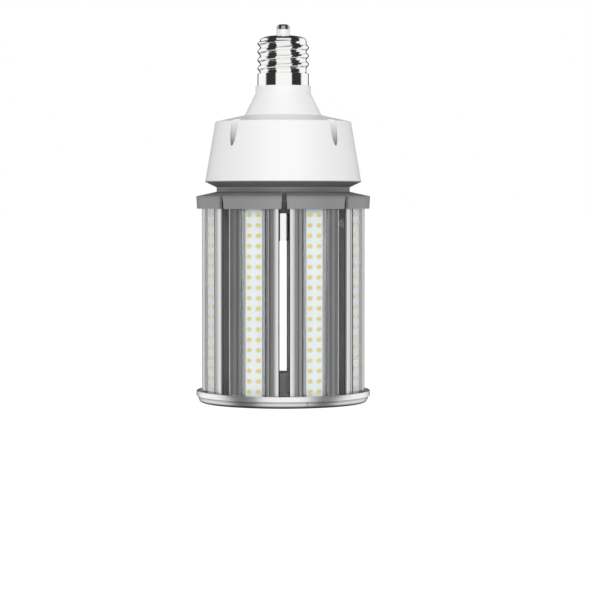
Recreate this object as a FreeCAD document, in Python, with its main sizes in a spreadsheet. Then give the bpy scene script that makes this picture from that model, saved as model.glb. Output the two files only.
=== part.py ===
"""Corn LED lamp on a mogul screw base, built as an assembly of its physical pieces.

The lamp stands on its bottom ring: the origin is the middle of that ring's lower face, +Z points to
the screw base, and -Y is the side that faces the viewer. Lengths are in millimetres.
"""
import FreeCAD, Part
import math
import os
import Sketcher

doc = FreeCAD.newDocument("corn_lamp")
sheet = doc.addObject("Spreadsheet::Sheet", "dims")


class Size:
    """A length that carries its number and the formula that gives it in the sheet."""

    def __init__(self, text, number):
        self.text = text
        self.number = number

    def __add__(self, other):
        return Size("(" + self.text + " + " + other.text + ")", self.number + other.number)

    def __sub__(self, other):
        return Size("(" + self.text + " - " + other.text + ")", self.number - other.number)

    def __mul__(self, times):
        if isinstance(times, Size):
            return Size("(" + self.text + " * " + times.text + ")", self.number * times.number)
        return Size("(" + self.text + " * " + str(times) + ")", self.number * times)

    def __truediv__(self, other):
        return Size("(" + self.text + " / " + other.text + ")", self.number / other.number)

    def __neg__(self):
        return self * -1


rows_used = []


def size(name, number):
    """Put one driving value in the sheet under its name and hand it back."""
    cell = "A" + str(len(rows_used) + 1)
    rows_used.append(name)
    sheet.set(cell, str(number))
    sheet.setAlias(cell, name)
    return Size("dims." + name, number)


ZERO = Size("0", 0.0)

# Overall counts of the repeated pieces
fin_count = size("fin_count", 8)
led_rows = size("led_rows", 18)
well_count = size("well_count", 4)

# Running clearances, each used wherever two pieces meet
slide_gap = size("slide_gap", 0.15)
hole_gap = size("hole_gap", 0.15)
tip_gap = size("tip_gap", 0.6)

# Finned extrusion, measured outward from the lamp axis and across the strip
fin_face = size("fin_face", 59.0)
strip_gap = size("strip_gap", 4.2)
strip_length = size("strip_length", 145.8)
wing_wall = size("wing_wall", 1.8)
curl_run = size("curl_run", 2.2)
curl_drop = size("curl_drop", 0.62)
curl_bite = size("curl_bite", 0.3)
curl_round = size("curl_round", 14.0)
curl_inner_round = size("curl_inner_round", 12.2)
curl_end_round = size("curl_end_round", 1.0)
channel_depth = size("channel_depth", 2.6)
plate_wall = size("plate_wall", 1.7)
ridge_width = size("ridge_width", 1.6)
ridge_rise = size("ridge_rise", 0.4)
rib_offset = size("rib_offset", 7.0)
rib_wall = size("rib_wall", 1.6)
rib_depth = size("rib_depth", 12.2)
boss_depth = size("boss_depth", 11.2)
boss_radius = size("boss_radius", 3.4)
boss_overlap = size("boss_overlap", 2.4)

# Bottom ring: a tray with a rolled outer edge, each height counted from the one below it
ring_reach = size("ring_reach", 6.8)
ring_wall = size("ring_wall", 1.8)
ring_sole_set = size("ring_sole_set", 4.2)
ring_sole_width = size("ring_sole_width", 6.2)
ring_turn_set = size("ring_turn_set", 2.6)
ring_turn_rise = size("ring_turn_rise", 0.8)
ring_bead_set = size("ring_bead_set", 1.5)
ring_bead_rise = size("ring_bead_rise", 1.9)
ring_bead_band = size("ring_bead_band", 1.8)
ring_step = size("ring_step", 0.5)
ring_band = size("ring_band", 4.0)
tray_under = size("tray_under", 4.0)
tray_wall = size("tray_wall", 2.2)

# Hub in the middle of the tray
hub_radius = size("hub_radius", 14.0)
hub_rise = size("hub_rise", 14.6)
hub_flange_radius = size("hub_flange_radius", 27.5)
hub_flange_wall = size("hub_flange_wall", 1.8)
hub_edge = size("hub_edge", 1.0)
hub_screw_set = size("hub_screw_set", 5.5)

# LED board and packages
board_half = size("board_half", 6.5)
board_wall = size("board_wall", 1.5)
board_bottom_gap = size("board_bottom_gap", 1.0)
board_top_gap = size("board_top_gap", 1.2)
led_low_margin = size("led_low_margin", 4.8)
led_high_margin = size("led_high_margin", 8.8)
led_column = size("led_column", 3.6)
led_width = size("led_width", 3.7)
led_height = size("led_height", 3.6)
led_rise = size("led_rise", 0.5)

# Clear cover with hooked feet
cover_half = size("cover_half", 10.2)
cover_stand = size("cover_stand", 0.8)
cover_wall = size("cover_wall", 1.0)
foot_reach = size("foot_reach", 0.65)
foot_rise = size("foot_rise", 1.0)
cover_top_gap = size("cover_top_gap", 0.3)
cover_round = size("cover_round", 0.7)

# Cast cap between the strips and the housing
cap_plate_wall = size("cap_plate_wall", 4.0)
collar_reach = size("collar_reach", 6.8)
collar_draft = size("collar_draft", 0.5)
collar_wall = size("collar_wall", 2.4)
collar_skirt = size("collar_skirt", 5.6)
collar_rise = size("collar_rise", 3.8)
slope_rise = size("slope_rise", 3.4)
slope_wall = size("slope_wall", 3.0)
cup_margin = size("cup_margin", 6.9)
neck_rise = size("neck_rise", 3.3)
neck_wall = size("neck_wall", 2.5)
plate_edge = size("plate_edge", 1.1)
undercut_rise = size("undercut_rise", 4.1)
flange_lip = size("flange_lip", 0.6)
cap_boss_radius = size("cap_boss_radius", 10.5)
cap_boss_drop = size("cap_boss_drop", 9.2)
slot_outer_half = size("slot_outer_half", 2.4)
slot_inner_half = size("slot_inner_half", 1.5)
slot_bite = size("slot_bite", 0.5)
slot_slack = size("slot_slack", 2.0)
slot_draft = size("slot_draft", 3.4)

# Six-sided post on the axis
post_corner = size("post_corner", 4.75)
post_length = size("post_length", 20.8)
post_spigot_set = size("post_spigot_set", 1.1)
post_spigot = size("post_spigot", 7.0)

# Moulded driver housing, each height counted from the one below it
wall_rise = size("wall_rise", 44.9)
wall_lean = size("wall_lean", 7.7)
shoulder_set = size("shoulder_set", 0.6)
shoulder_rise = size("shoulder_rise", 4.9)
cone_flare = size("cone_flare", 8.2)
cone_rise = size("cone_rise", 16.5)
base_neck_step = size("base_neck_step", 1.45)
base_neck_rise = size("base_neck_rise", 5.6)
spigot_wall = size("spigot_wall", 2.4)
housing_wall = size("housing_wall", 2.3)
cone_wall = size("cone_wall", 2.6)
shoulder_round = size("shoulder_round", 1.2)
well_inset = size("well_inset", 2.8)
well_radius = size("well_radius", 3.8)
well_wall = size("well_wall", 1.6)
well_floor_rise = size("well_floor_rise", 4.8)

# Mogul screw shell with a knuckle thread
thread_root = size("thread_root", 17.6)
thread_depth = size("thread_depth", 2.0)
thread_pitch = size("thread_pitch", 6.35)
thread_turns = size("thread_turns", 4)
thread_tuck = size("thread_tuck", 0.1)
thread_fade = size("thread_fade", 2.4)
bead_gap = size("bead_gap", 0.55)
bead_toe = size("bead_toe", 0.8)
bead_flank = size("bead_flank", 1.0)
bead_crown = size("bead_crown", 0.7)
bead_sink = size("bead_sink", 0.2)
skirt_set = size("skirt_set", 0.15)
skirt_rise = size("skirt_rise", 10.2)
shell_wall = size("shell_wall", 0.4)
shoulder_tuck = size("shoulder_tuck", 0.3)
dome_one_set = size("dome_one_set", 1.2)
dome_one_rise = size("dome_one_rise", 1.2)
dome_two_set = size("dome_two_set", 3.5)
dome_two_rise = size("dome_two_rise", 1.1)
dome_mouth = size("dome_mouth", 6.4)
dome_crown_rise = size("dome_crown_rise", 0.5)

# Insulator and contact button
plug_depth = size("plug_depth", 6.6)
post_base_set = size("post_base_set", 0.5)
post_base_rise = size("post_base_rise", 0.3)
insulator_set = size("insulator_set", 0.8)
insulator_step = size("insulator_step", 0.8)
insulator_rise = size("insulator_rise", 3.6)
contact_set = size("contact_set", 0.2)
contact_side = size("contact_side", 2.7)
contact_bevel = size("contact_bevel", 1.8)
contact_crown = size("contact_crown", 1.2)
stem_radius = size("stem_radius", 1.2)
stem_inset = size("stem_inset", 2.0)

# Screws
screw_shank = size("screw_shank", 1.5)
screw_head = size("screw_head", 2.8)
screw_head_rise = size("screw_head_rise", 2.0)
screw_head_edge = size("screw_head_edge", 0.7)
fin_screw_length = size("fin_screw_length", 14.0)
housing_screw_length = size("housing_screw_length", 7.6)
hub_screw_length = size("hub_screw_length", 3.6)
board_screw_length = size("board_screw_length", 4.6)
bond_drop = size("bond_drop", 16.0)
bond_clear = size("bond_clear", 0.3)
bond_head = size("bond_head", 3.6)
bond_head_rise = size("bond_head_rise", 2.4)
bond_head_edge = size("bond_head_edge", 1.2)
bond_shank = size("bond_shank", 2.0)
bond_length = size("bond_length", 4.2)

# Driver on its posts, and the wires
driver_gap = size("driver_gap", 2.4)
driver_wall = size("driver_wall", 1.6)
standoff_rise = size("standoff_rise", 5.0)
standoff_radius = size("standoff_radius", 3.2)
standoff_set = size("standoff_set", 7.5)
coil_half = size("coil_half", 11.5)
coil_length = size("coil_length", 27.0)
coil_rise = size("coil_rise", 21.0)
coil_centre = size("coil_centre", 17.0)
core_half = size("core_half", 14.0)
core_start = size("core_start", 6.0)
core_length = size("core_length", 15.0)
can_radius = size("can_radius", 8.0)
can_rise = size("can_rise", 28.0)
can_edge = size("can_edge", 0.8)
can_across = size("can_across", 20.0)
can_back = size("can_back", -12.0)
choke_radius = size("choke_radius", 9.0)
choke_bore = size("choke_bore", 4.0)
choke_rise = size("choke_rise", 12.0)
choke_back = size("choke_back", -24.0)
wire_radius = size("wire_radius", 0.9)
wire_room = size("wire_room", 4.0)
neutral_across = size("neutral_across", 11.0)
lead_radius = size("lead_radius", 0.4)
lead_across = size("lead_across", 4.4)
lead_pad_drop = size("lead_pad_drop", 2.2)
lead_lift = size("lead_lift", 0.9)
lead_edge = size("lead_edge", 1.5)
window_half = size("window_half", 1.2)
window_slack = size("window_slack", 1.0)

# Heights and reaches that follow from the values above: tray, hub and strips
tray_floor = tray_under + tray_wall
strip_foot = tray_floor
strip_top = strip_foot + strip_length
plate_under = strip_top
strip_slope = Size("tan(180 / dims.fin_count)", math.tan(math.pi / fin_count.number))
curl_end = fin_face - curl_drop
fin_half = curl_end * strip_slope - strip_gap
curl_start = fin_half - curl_run
curl_back = curl_start - curl_bite
board_seat = fin_face - channel_depth
plate_back = board_seat - plate_wall
rib_end = plate_back - rib_depth
boss_centre = plate_back - boss_depth
ring_radius = fin_face + ring_reach
ring_sole_radius = ring_radius - ring_sole_set
ring_turn_radius = ring_radius - ring_turn_set
ring_bead_radius = ring_radius - ring_bead_set
ring_bead_foot = ring_turn_rise + ring_bead_rise
ring_bead_top = ring_bead_foot + ring_bead_band
ring_band_foot = ring_bead_top + ring_step
ring_top = ring_band_foot + ring_band
hub_seat = tray_floor + hub_flange_wall
hub_top = hub_seat + hub_rise
hub_screw_radius = hub_flange_radius - hub_screw_set
rib_inner = rib_offset - rib_wall * 0.5
rib_outer = rib_offset + rib_wall * 0.5
wing_back = fin_face - wing_wall
ridge_top = fin_face + ridge_rise

# Board, packages and cover in the channel
board_foot = strip_foot + board_bottom_gap
board_top = strip_top - board_top_gap
board_front = board_seat + board_wall
led_first = board_foot + led_low_margin
led_span = board_top - led_high_margin - led_first
cover_front = fin_face + cover_stand
foot_half = cover_half + foot_reach
lip_half = cover_half + slide_gap
channel_half = foot_half + slide_gap
ridge_half = lip_half + ridge_width
lip_under = board_seat + foot_rise + slide_gap

# Cap and post
cup_floor = plate_under + cap_plate_wall
neck_radius = boss_centre + cup_margin
cup_radius = neck_radius - neck_wall
collar_radius = fin_face + collar_reach
collar_inner = collar_radius - collar_draft - collar_wall
collar_foot = plate_under - collar_skirt
collar_top = plate_under + collar_rise
neck_foot = collar_top + slope_rise
neck_top = neck_foot + neck_rise
seam_height = neck_top + undercut_rise + flange_lip
slope_drop = slope_rise * collar_wall / (collar_radius - neck_radius)
cap_boss_foot = plate_under - cap_boss_drop
post_flat = post_corner * math.sqrt(0.75)
post_spigot_radius = post_flat - post_spigot_set
post_foot = cap_boss_foot - post_length
driver_under = cup_floor + standoff_rise
driver_top = driver_under + driver_wall
driver_radius = cup_radius - driver_gap
standoff_centre = driver_radius - standoff_set
board_hole_depth = board_screw_length - driver_wall + tip_gap

# Housing
well_centre = cup_radius + well_inset
well_floor = seam_height + well_floor_rise
housing_hole_depth = housing_screw_length - well_floor_rise + tip_gap
shoulder_radius = well_centre + shoulder_set
flange_radius = shoulder_radius + wall_lean
shoulder_height = seam_height + wall_rise
cone_height = shoulder_height + shoulder_rise
base_neck_foot = cone_height + cone_rise
base_neck_top = base_neck_foot + base_neck_rise

# Screw shell, insulator and contact
thread_crest = thread_root + thread_depth
skirt_radius = thread_crest - skirt_set
base_neck_radius = skirt_radius + base_neck_step
cone_radius = base_neck_radius + cone_flare
skirt_top = base_neck_top + skirt_rise
thread_start = skirt_top - thread_tuck
shell_shoulder = thread_start + thread_pitch * thread_turns - shoulder_tuck
bead_half = (thread_pitch - bead_gap) * 0.5
bead_foot_half = bead_half - bead_toe
bead_flank_half = bead_foot_half - bead_flank
bead_crest_half = bead_flank_half - bead_crown
shell_bore = thread_root - shell_wall
spigot_radius = shell_bore - slide_gap
spigot_bore = spigot_radius - spigot_wall
dome_one_radius = thread_root - dome_one_set
dome_one_height = shell_shoulder + dome_one_rise
dome_two_radius = dome_one_radius - dome_two_set
dome_two_height = dome_one_height + dome_two_rise
dome_top = dome_two_height + dome_crown_rise
plug_foot = shell_shoulder - plug_depth
spigot_top = plug_foot - wire_room
post_base_radius = dome_mouth - post_base_set
post_base_top = dome_top + post_base_rise
insulator_radius = post_base_radius - insulator_set
insulator_shoulder = post_base_top + insulator_step
insulator_top = insulator_shoulder + insulator_rise
contact_radius = insulator_radius - contact_set
contact_edge = insulator_top + contact_side
contact_flat = contact_radius - contact_bevel
contact_top = contact_edge + contact_crown

# Screws and wires
screw_hole = screw_shank + hole_gap
bond_radial = plate_back - bond_head - bond_clear
bond_height = strip_top - bond_drop
stem_foot = plug_foot + stem_inset
neutral_turn = plug_foot - wire_room * 0.5
lead_pad = board_top - lead_pad_drop
lead_inner = driver_radius - lead_edge
window_inner = lead_inner - lead_radius - window_slack

doc.recompute()


def origin_item(body, role):
    """The plane or axis of a body's own origin that has this role."""
    for item in body.Origin.OriginFeatures:
        if item.Role == role:
            return item
    raise ValueError(role)


def new_body(label):
    """An empty body whose label names the piece and its file."""
    body = doc.addObject("PartDesign::Body", label)
    body.Label = label
    return body


def new_sketch(body, plane, lift=None):
    """A sketch on one of the body's own planes, raised along the plane's normal."""
    sketch = body.newObject("Sketcher::SketchObject", body.Name + "_sketch")
    sketch.AttachmentSupport = [(origin_item(body, plane), "")]
    sketch.MapMode = "FlatFace"
    if lift is not None:
        sketch.AttachmentOffset = FreeCAD.Placement(FreeCAD.Vector(0, 0, lift.number), FreeCAD.Rotation())
        sketch.setExpression("AttachmentOffset.Base.z", lift.text)
    return sketch


def pin(sketch, edge, end, across, along):
    """Tie one point of the sketch to the origin by two signed distances."""
    for kind, value, axis in (("DistanceX", across, -2), ("DistanceY", along, -1)):
        if value is ZERO:
            sketch.addConstraint(Sketcher.Constraint("PointOnObject", edge, end, axis))
        else:
            row = sketch.addConstraint(Sketcher.Constraint(kind, -1, 1, edge, end, value.number))
            sketch.setExpression("Constraints[" + str(row) + "]", value.text)


def add_loop(sketch, points):
    """A closed loop of straight edges through points that are tied to the sheet."""
    first = sketch.GeometryCount
    count = len(points)
    spots = [FreeCAD.Vector(across.number, along.number, 0) for across, along in points]
    for k in range(count):
        sketch.addGeometry(Part.LineSegment(spots[k], spots[(k + 1) % count]), False)
    for k in range(count):
        after = first + (k + 1) % count
        sketch.addConstraint(Sketcher.Constraint("Coincident", first + k, 2, after, 1))
    for k, (across, along) in enumerate(points):
        pin(sketch, first + k, 1, across, along)


def add_path(sketch, points):
    """An open run of straight edges through points that are tied to the sheet."""
    first = sketch.GeometryCount
    spots = [FreeCAD.Vector(across.number, along.number, 0) for across, along in points]
    last = len(points) - 1
    for k in range(last):
        sketch.addGeometry(Part.LineSegment(spots[k], spots[k + 1]), False)
    for k in range(last - 1):
        sketch.addConstraint(Sketcher.Constraint("Coincident", first + k, 2, first + k + 1, 1))
    for k in range(last):
        pin(sketch, first + k, 1, *points[k])
    pin(sketch, first + last - 1, 2, *points[last])


def add_circle(sketch, across, along, radius):
    """A circle whose centre and radius are tied to the sheet."""
    centre = FreeCAD.Vector(across.number, along.number, 0)
    shape = Part.Circle(centre, FreeCAD.Vector(0, 0, 1), radius.number)
    edge = sketch.addGeometry(shape, False)
    pin(sketch, edge, 3, across, along)
    row = sketch.addConstraint(Sketcher.Constraint("Radius", edge, radius.number))
    sketch.setExpression("Constraints[" + str(row) + "]", radius.text)


def mirrored(half):
    """A half outline followed by its mirror image across the strip's middle."""
    return half + [(across, -along) for across, along in reversed(half)]


def pad(body, sketch, length, back=False):
    """Raise a sketch into a solid; back raises it against the sketch's normal."""
    feature = body.newObject("PartDesign::Pad", body.Name + "_pad")
    feature.Profile = sketch
    feature.Length = length.number
    feature.setExpression("Length", length.text)
    feature.Reversed = back
    return feature


def pocket(body, sketch, length, upward, draft=None):
    """Cut a sketch out of the body, upward along the sketch's normal or down against it."""
    feature = body.newObject("PartDesign::Pocket", body.Name + "_pocket")
    feature.Profile = sketch
    feature.Length = length.number
    feature.setExpression("Length", length.text)
    feature.Reversed = upward
    if draft is not None:
        feature.TaperAngle = -draft.number
        feature.setExpression("TaperAngle", (-draft).text)
    return feature


def revolve(body, sketch, kind="PartDesign::Revolution"):
    """Turn a half section about the upright axis of its sketch."""
    feature = body.newObject(kind, body.Name + "_turned")
    feature.Profile = sketch
    feature.ReferenceAxis = (sketch, ["V_Axis"])
    feature.Angle = 360.0
    return feature


def around(body, features, count):
    """Repeat features evenly about the lamp axis."""
    pattern = body.newObject("PartDesign::PolarPattern", body.Name + "_around")
    pattern.Originals = features
    pattern.Axis = (origin_item(body, "Z_Axis"), [""])
    pattern.Angle = 360.0
    pattern.Occurrences = int(count.number)
    pattern.setExpression("Occurrences", count.text)
    body.Tip = pattern
    return pattern


def upright_edges(shape, spots):
    """Names of the edges that run along Z through the given points of the plan."""
    names = []
    for k, edge in enumerate(shape.Edges):
        ends = [vertex.Point for vertex in edge.Vertexes]
        if len(ends) != 2:
            continue
        level = math.hypot(ends[0].x - ends[1].x, ends[0].y - ends[1].y)
        if level > slide_gap.number:
            continue
        for across, along in spots:
            miss = math.hypot(ends[0].x - across.number, ends[0].y - along.number)
            if miss < slide_gap.number:
                names.append("Edge" + str(k + 1))
    return names


def level_edges(shape, radius, height):
    """Names of the round edges of one radius at one height."""
    names = []
    for k, edge in enumerate(shape.Edges):
        curve = edge.Curve
        if not isinstance(curve, Part.Circle):
            continue
        same_radius = abs(curve.Radius - radius.number) < slide_gap.number
        same_height = abs(curve.Center.z - height.number) < slide_gap.number
        if same_radius and same_height:
            names.append("Edge" + str(k + 1))
    return names


def round_edges(body, base, names, radius, kind="PartDesign::Fillet"):
    """Round or bevel named edges of the last feature."""
    feature = body.newObject(kind, body.Name + "_edge")
    feature.Base = (base, names)
    if kind == "PartDesign::Fillet":
        feature.Radius = radius.number
        feature.setExpression("Radius", radius.text)
    else:
        feature.Size = radius.number
        feature.setExpression("Size", radius.text)
    return feature


def turned(label, points):
    """A body turned from one closed half section."""
    body = new_body(label)
    sketch = new_sketch(body, "XZ_Plane")
    add_loop(sketch, points)
    revolve(body, sketch)
    return body


def drill(body, plane_height, across, along, radius, depth, upward, count=None):
    """A round hole, or a ring of them, cut from one height."""
    sketch = new_sketch(body, "XY_Plane", plane_height)
    add_circle(sketch, across, along, radius)
    hole = pocket(body, sketch, depth, upward)
    if count is not None:
        around(body, [hole], count)
    return hole


def turn_by(body, degrees):
    """Turn a whole piece about the lamp axis."""
    body.Placement = FreeCAD.Placement(
        FreeCAD.Vector(0, 0, 0), FreeCAD.Rotation(FreeCAD.Vector(0, 0, 1), degrees))


def strip_angle(k):
    """Direction of the k-th strip in plan; the gaps lie on the axes and between them."""
    step = 360.0 / fin_count.number
    return -90.0 + step * (k + 0.5)


pieces = []


# Bottom ring. One pressed tray: a flat sole, a rolled bead, an upright band and an open rim.
ring = turned("bottom_ring", [
    (ZERO, tray_under),
    (ring_sole_radius - ring_sole_width, tray_under),
    (ring_sole_radius - ring_sole_width, ZERO),
    (ring_sole_radius, ZERO),
    (ring_turn_radius, ring_turn_rise),
    (ring_bead_radius, ring_bead_foot),
    (ring_bead_radius, ring_bead_top),
    (ring_radius, ring_band_foot),
    (ring_radius, ring_top),
    (ring_radius - ring_wall, ring_top),
    (ring_radius - ring_wall, tray_floor),
    (ZERO, tray_floor)])
doc.recompute()
drill(ring, tray_under, boss_centre, ZERO, screw_hole, tray_wall, True, fin_count)
turn_by(ring, strip_angle(0))
step_angle = 360.0 / fin_count.number
hub_hole_sketch = new_sketch(ring, "XY_Plane", tray_under)
half_step = math.radians(step_angle / 2)
hub_hole_spot = (hub_screw_radius * math.cos(half_step), -hub_screw_radius * math.sin(half_step))
add_circle(hub_hole_sketch, hub_hole_spot[0], hub_hole_spot[1], screw_hole)
hub_hole = pocket(ring, hub_hole_sketch, tray_wall, True)
around(ring, [hub_hole], well_count)
pieces.append(ring)

# Hub. A turned boss with a flange that lies on the tray.
hub = turned("bottom_hub", [
    (ZERO, tray_floor),
    (hub_flange_radius, tray_floor),
    (hub_flange_radius, hub_seat),
    (hub_radius, hub_seat),
    (hub_radius, hub_top - hub_edge),
    (hub_radius - hub_edge, hub_top),
    (ZERO, hub_top)])
doc.recompute()
drill(hub, tray_floor, ZERO, -hub_screw_radius, screw_hole, hub_flange_wall, True, well_count)
pieces.append(hub)


def half_strip_outline():
    """Half of the extrusion's section, from the channel floor round the wing to the middle web."""
    return [
        (board_seat, channel_half),
        (lip_under, channel_half),
        (lip_under, lip_half),
        (ridge_top, lip_half),
        (ridge_top, ridge_half),
        (fin_face, ridge_half),
        (fin_face, curl_start),
        (curl_end, fin_half),
        (curl_end - wing_wall, fin_half - curl_bite),
        (wing_back, curl_back),
        (wing_back, ridge_half),
        (plate_back, ridge_half),
        (plate_back, rib_outer),
        (rib_end, rib_outer),
        (rib_end, rib_inner),
        (plate_back, rib_inner),
        (plate_back, rib_wall * 0.5),
        (boss_centre + boss_overlap, rib_wall * 0.5)]


def make_strip(k):
    """One extrusion: the section with wings and ribs, the screw boss, then the curled ends."""
    body = new_body("heat_sink_" + str(k + 1))
    section = new_sketch(body, "XY_Plane", strip_foot)
    add_loop(section, mirrored(half_strip_outline()))
    pad(body, section, strip_top - strip_foot)
    boss = new_sketch(body, "XY_Plane", strip_foot)
    add_circle(boss, boss_centre, ZERO, boss_radius)
    add_circle(boss, boss_centre, ZERO, screw_hole)
    whole = pad(body, boss, strip_top - strip_foot)
    doc.recompute()
    outer = [(fin_face, curl_start), (fin_face, -curl_start)]
    rounded = round_edges(body, whole, upright_edges(whole.Shape, outer), curl_round)
    doc.recompute()
    inner = [(wing_back, curl_back), (wing_back, -curl_back)]
    curled = round_edges(body, rounded, upright_edges(rounded.Shape, inner), curl_inner_round)
    doc.recompute()
    ends = [(curl_end, fin_half), (curl_end, -fin_half)]
    round_edges(body, curled, upright_edges(curled.Shape, ends), curl_end_round)
    turn_by(body, strip_angle(k))
    return body


def make_board(k):
    """One aluminium-core board, bonded to the channel floor."""
    body = new_body("led_board_" + str(k + 1))
    section = new_sketch(body, "XY_Plane", board_foot)
    add_loop(section, mirrored([(board_front, board_half), (board_seat, board_half)]))
    pad(body, section, board_top - board_foot)
    turn_by(body, strip_angle(k))
    return body


def make_chips(k):
    """The packages of one board: a pair side by side, repeated up the board."""
    body = new_body("led_chips_" + str(k + 1))
    body.AllowCompound = True
    section = new_sketch(body, "XY_Plane", led_first - led_height * 0.5)
    front = board_front + led_rise
    for side in (1, -1):
        near = led_column * side - led_width * 0.5
        far = led_column * side + led_width * 0.5
        add_loop(section, [(board_front, near), (front, near), (front, far), (board_front, far)])
    pair = pad(body, section, led_height)
    rows = body.newObject("PartDesign::LinearPattern", body.Name + "_rows")
    rows.Originals = [pair]
    rows.Direction = (origin_item(body, "Z_Axis"), [""])
    rows.Length = led_span.number
    rows.setExpression("Length", led_span.text)
    rows.Occurrences = int(led_rows.number)
    rows.setExpression("Occurrences", led_rows.text)
    body.Tip = rows
    turn_by(body, strip_angle(k))
    return body


def make_cover(k):
    """One clear cover: a shallow channel whose hooked feet lie under the ridges."""
    body = new_body("lens_cover_" + str(k + 1))
    section = new_sketch(body, "XY_Plane", strip_foot)
    inside = cover_half - cover_wall
    add_loop(section, mirrored([
        (cover_front, cover_half),
        (board_seat + foot_rise, cover_half),
        (board_seat + foot_rise, foot_half),
        (board_seat, foot_half),
        (board_seat, inside),
        (cover_front - cover_wall, inside)]))
    whole = pad(body, section, strip_top - cover_top_gap - strip_foot)
    doc.recompute()
    corners = [(cover_front, cover_half), (cover_front, -cover_half)]
    round_edges(body, whole, upright_edges(whole.Shape, corners), cover_round)
    turn_by(body, strip_angle(k))
    return body


strips = [make_strip(k) for k in range(int(fin_count.number))]
boards = [make_board(k) for k in range(int(fin_count.number))]
chips = [make_chips(k) for k in range(int(fin_count.number))]
covers = [make_cover(k) for k in range(int(fin_count.number))]
pieces.extend(strips + boards + chips + covers)

# The second strip from the front carries a bonding screw through one of its ribs.
bonded = strips[1]
bond_sketch = new_sketch(bonded, "XZ_Plane", rib_outer)
add_circle(bond_sketch, bond_radial, bond_height, bond_shank + hole_gap)
pocket(bonded, bond_sketch, rib_wall, False)

bond = new_body("bonding_screw")
bond_head_sketch = new_sketch(bond, "XZ_Plane", rib_outer)
add_circle(bond_head_sketch, bond_radial, bond_height, bond_head)
bond_pad = pad(bond, bond_head_sketch, bond_head_rise)
doc.recompute()
top_names = []
for number, edge in enumerate(bond_pad.Shape.Edges):
    if abs(edge.CenterOfMass.y + rib_outer.number + bond_head_rise.number) < slide_gap.number:
        top_names.append("Edge" + str(number + 1))
round_edges(bond, bond_pad, top_names, bond_head_edge)
bond_shank_sketch = new_sketch(bond, "XZ_Plane", rib_outer)
add_circle(bond_shank_sketch, bond_radial, bond_height, bond_shank)
pad(bond, bond_shank_sketch, bond_length, True)
turn_by(bond, strip_angle(1))
pieces.append(bond)

# Cap. A turned casting: cup for the driver, undercut flange, sloped collar, and a boss on the axis.
cap = turned("upper_end_cap", [
    (ZERO, cap_boss_foot + post_spigot + slide_gap),
    (post_spigot_radius + slide_gap, cap_boss_foot + post_spigot + slide_gap),
    (post_spigot_radius + slide_gap, cap_boss_foot),
    (cap_boss_radius, cap_boss_foot),
    (cap_boss_radius, plate_under),
    (neck_radius + plate_edge, plate_under),
    (neck_radius + plate_edge, neck_foot - slope_wall),
    (collar_inner, collar_top + slope_drop - slope_wall),
    (collar_inner, collar_foot),
    (collar_radius - collar_draft, collar_foot),
    (collar_radius, collar_top),
    (neck_radius, neck_foot),
    (neck_radius, neck_top),
    (flange_radius, seam_height - flange_lip),
    (flange_radius, seam_height),
    (cup_radius, seam_height),
    (cup_radius, cup_floor),
    (ZERO, cup_floor)])
slot_sketch = new_sketch(cap, "XY_Plane", collar_foot)
add_loop(slot_sketch, [
    (neck_radius - slot_bite, -slot_inner_half),
    (collar_radius + slot_slack, -slot_outer_half),
    (collar_radius + slot_slack, slot_outer_half),
    (neck_radius - slot_bite, slot_inner_half)])
slot = pocket(cap, slot_sketch, neck_foot - collar_foot, True, slot_draft)
around(cap, [slot], fin_count)
standoff_sketch = new_sketch(cap, "XY_Plane", cup_floor)
add_circle(standoff_sketch, standoff_centre, ZERO, standoff_radius)
standoff = pad(cap, standoff_sketch, standoff_rise)
around(cap, [standoff], well_count)
drill(cap, driver_under, standoff_centre, ZERO, screw_hole, board_hole_depth, False, well_count)
diagonal = math.sqrt(0.5)
well_across = well_centre * diagonal
drill(cap, seam_height, well_across, well_across, screw_hole, housing_hole_depth, False, well_count)
fin_turn = math.radians(strip_angle(0))


def on_strip(radial, across):
    """Plan position of a spot given in the first strip's own directions."""
    east = radial * math.cos(fin_turn) - across * math.sin(fin_turn)
    north = radial * math.sin(fin_turn) + across * math.cos(fin_turn)
    return east, north


fin_hole_spot = on_strip(boss_centre, ZERO)
drill(cap, plate_under, fin_hole_spot[0], fin_hole_spot[1], screw_hole, cap_plate_wall, True, fin_count)
window_sketch = new_sketch(cap, "XY_Plane", plate_under)
window_outer = neck_radius + plate_edge + slide_gap
add_loop(window_sketch, [
    on_strip(window_inner, lead_across - window_half),
    on_strip(window_outer, lead_across - window_half),
    on_strip(window_outer, lead_across + window_half),
    on_strip(window_inner, lead_across + window_half)])
window = pocket(cap, window_sketch, cap_plate_wall, True)
around(cap, [window], fin_count)
pieces.append(cap)

# Post. A polished six-sided spacer, one flat to the front, with a pin pressed into the boss of the cap.
post = new_body("center_post")
post_sketch = new_sketch(post, "XY_Plane", post_foot)
half_corner = post_corner * 0.5
add_loop(post_sketch, [
    (post_corner, ZERO),
    (half_corner, post_flat),
    (-half_corner, post_flat),
    (-post_corner, ZERO),
    (-half_corner, -post_flat),
    (half_corner, -post_flat)])
pad(post, post_sketch, post_length)
pin_sketch = new_sketch(post, "XY_Plane", cap_boss_foot)
add_circle(pin_sketch, ZERO, ZERO, post_spigot_radius)
pad(post, pin_sketch, post_spigot)
pieces.append(post)

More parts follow.
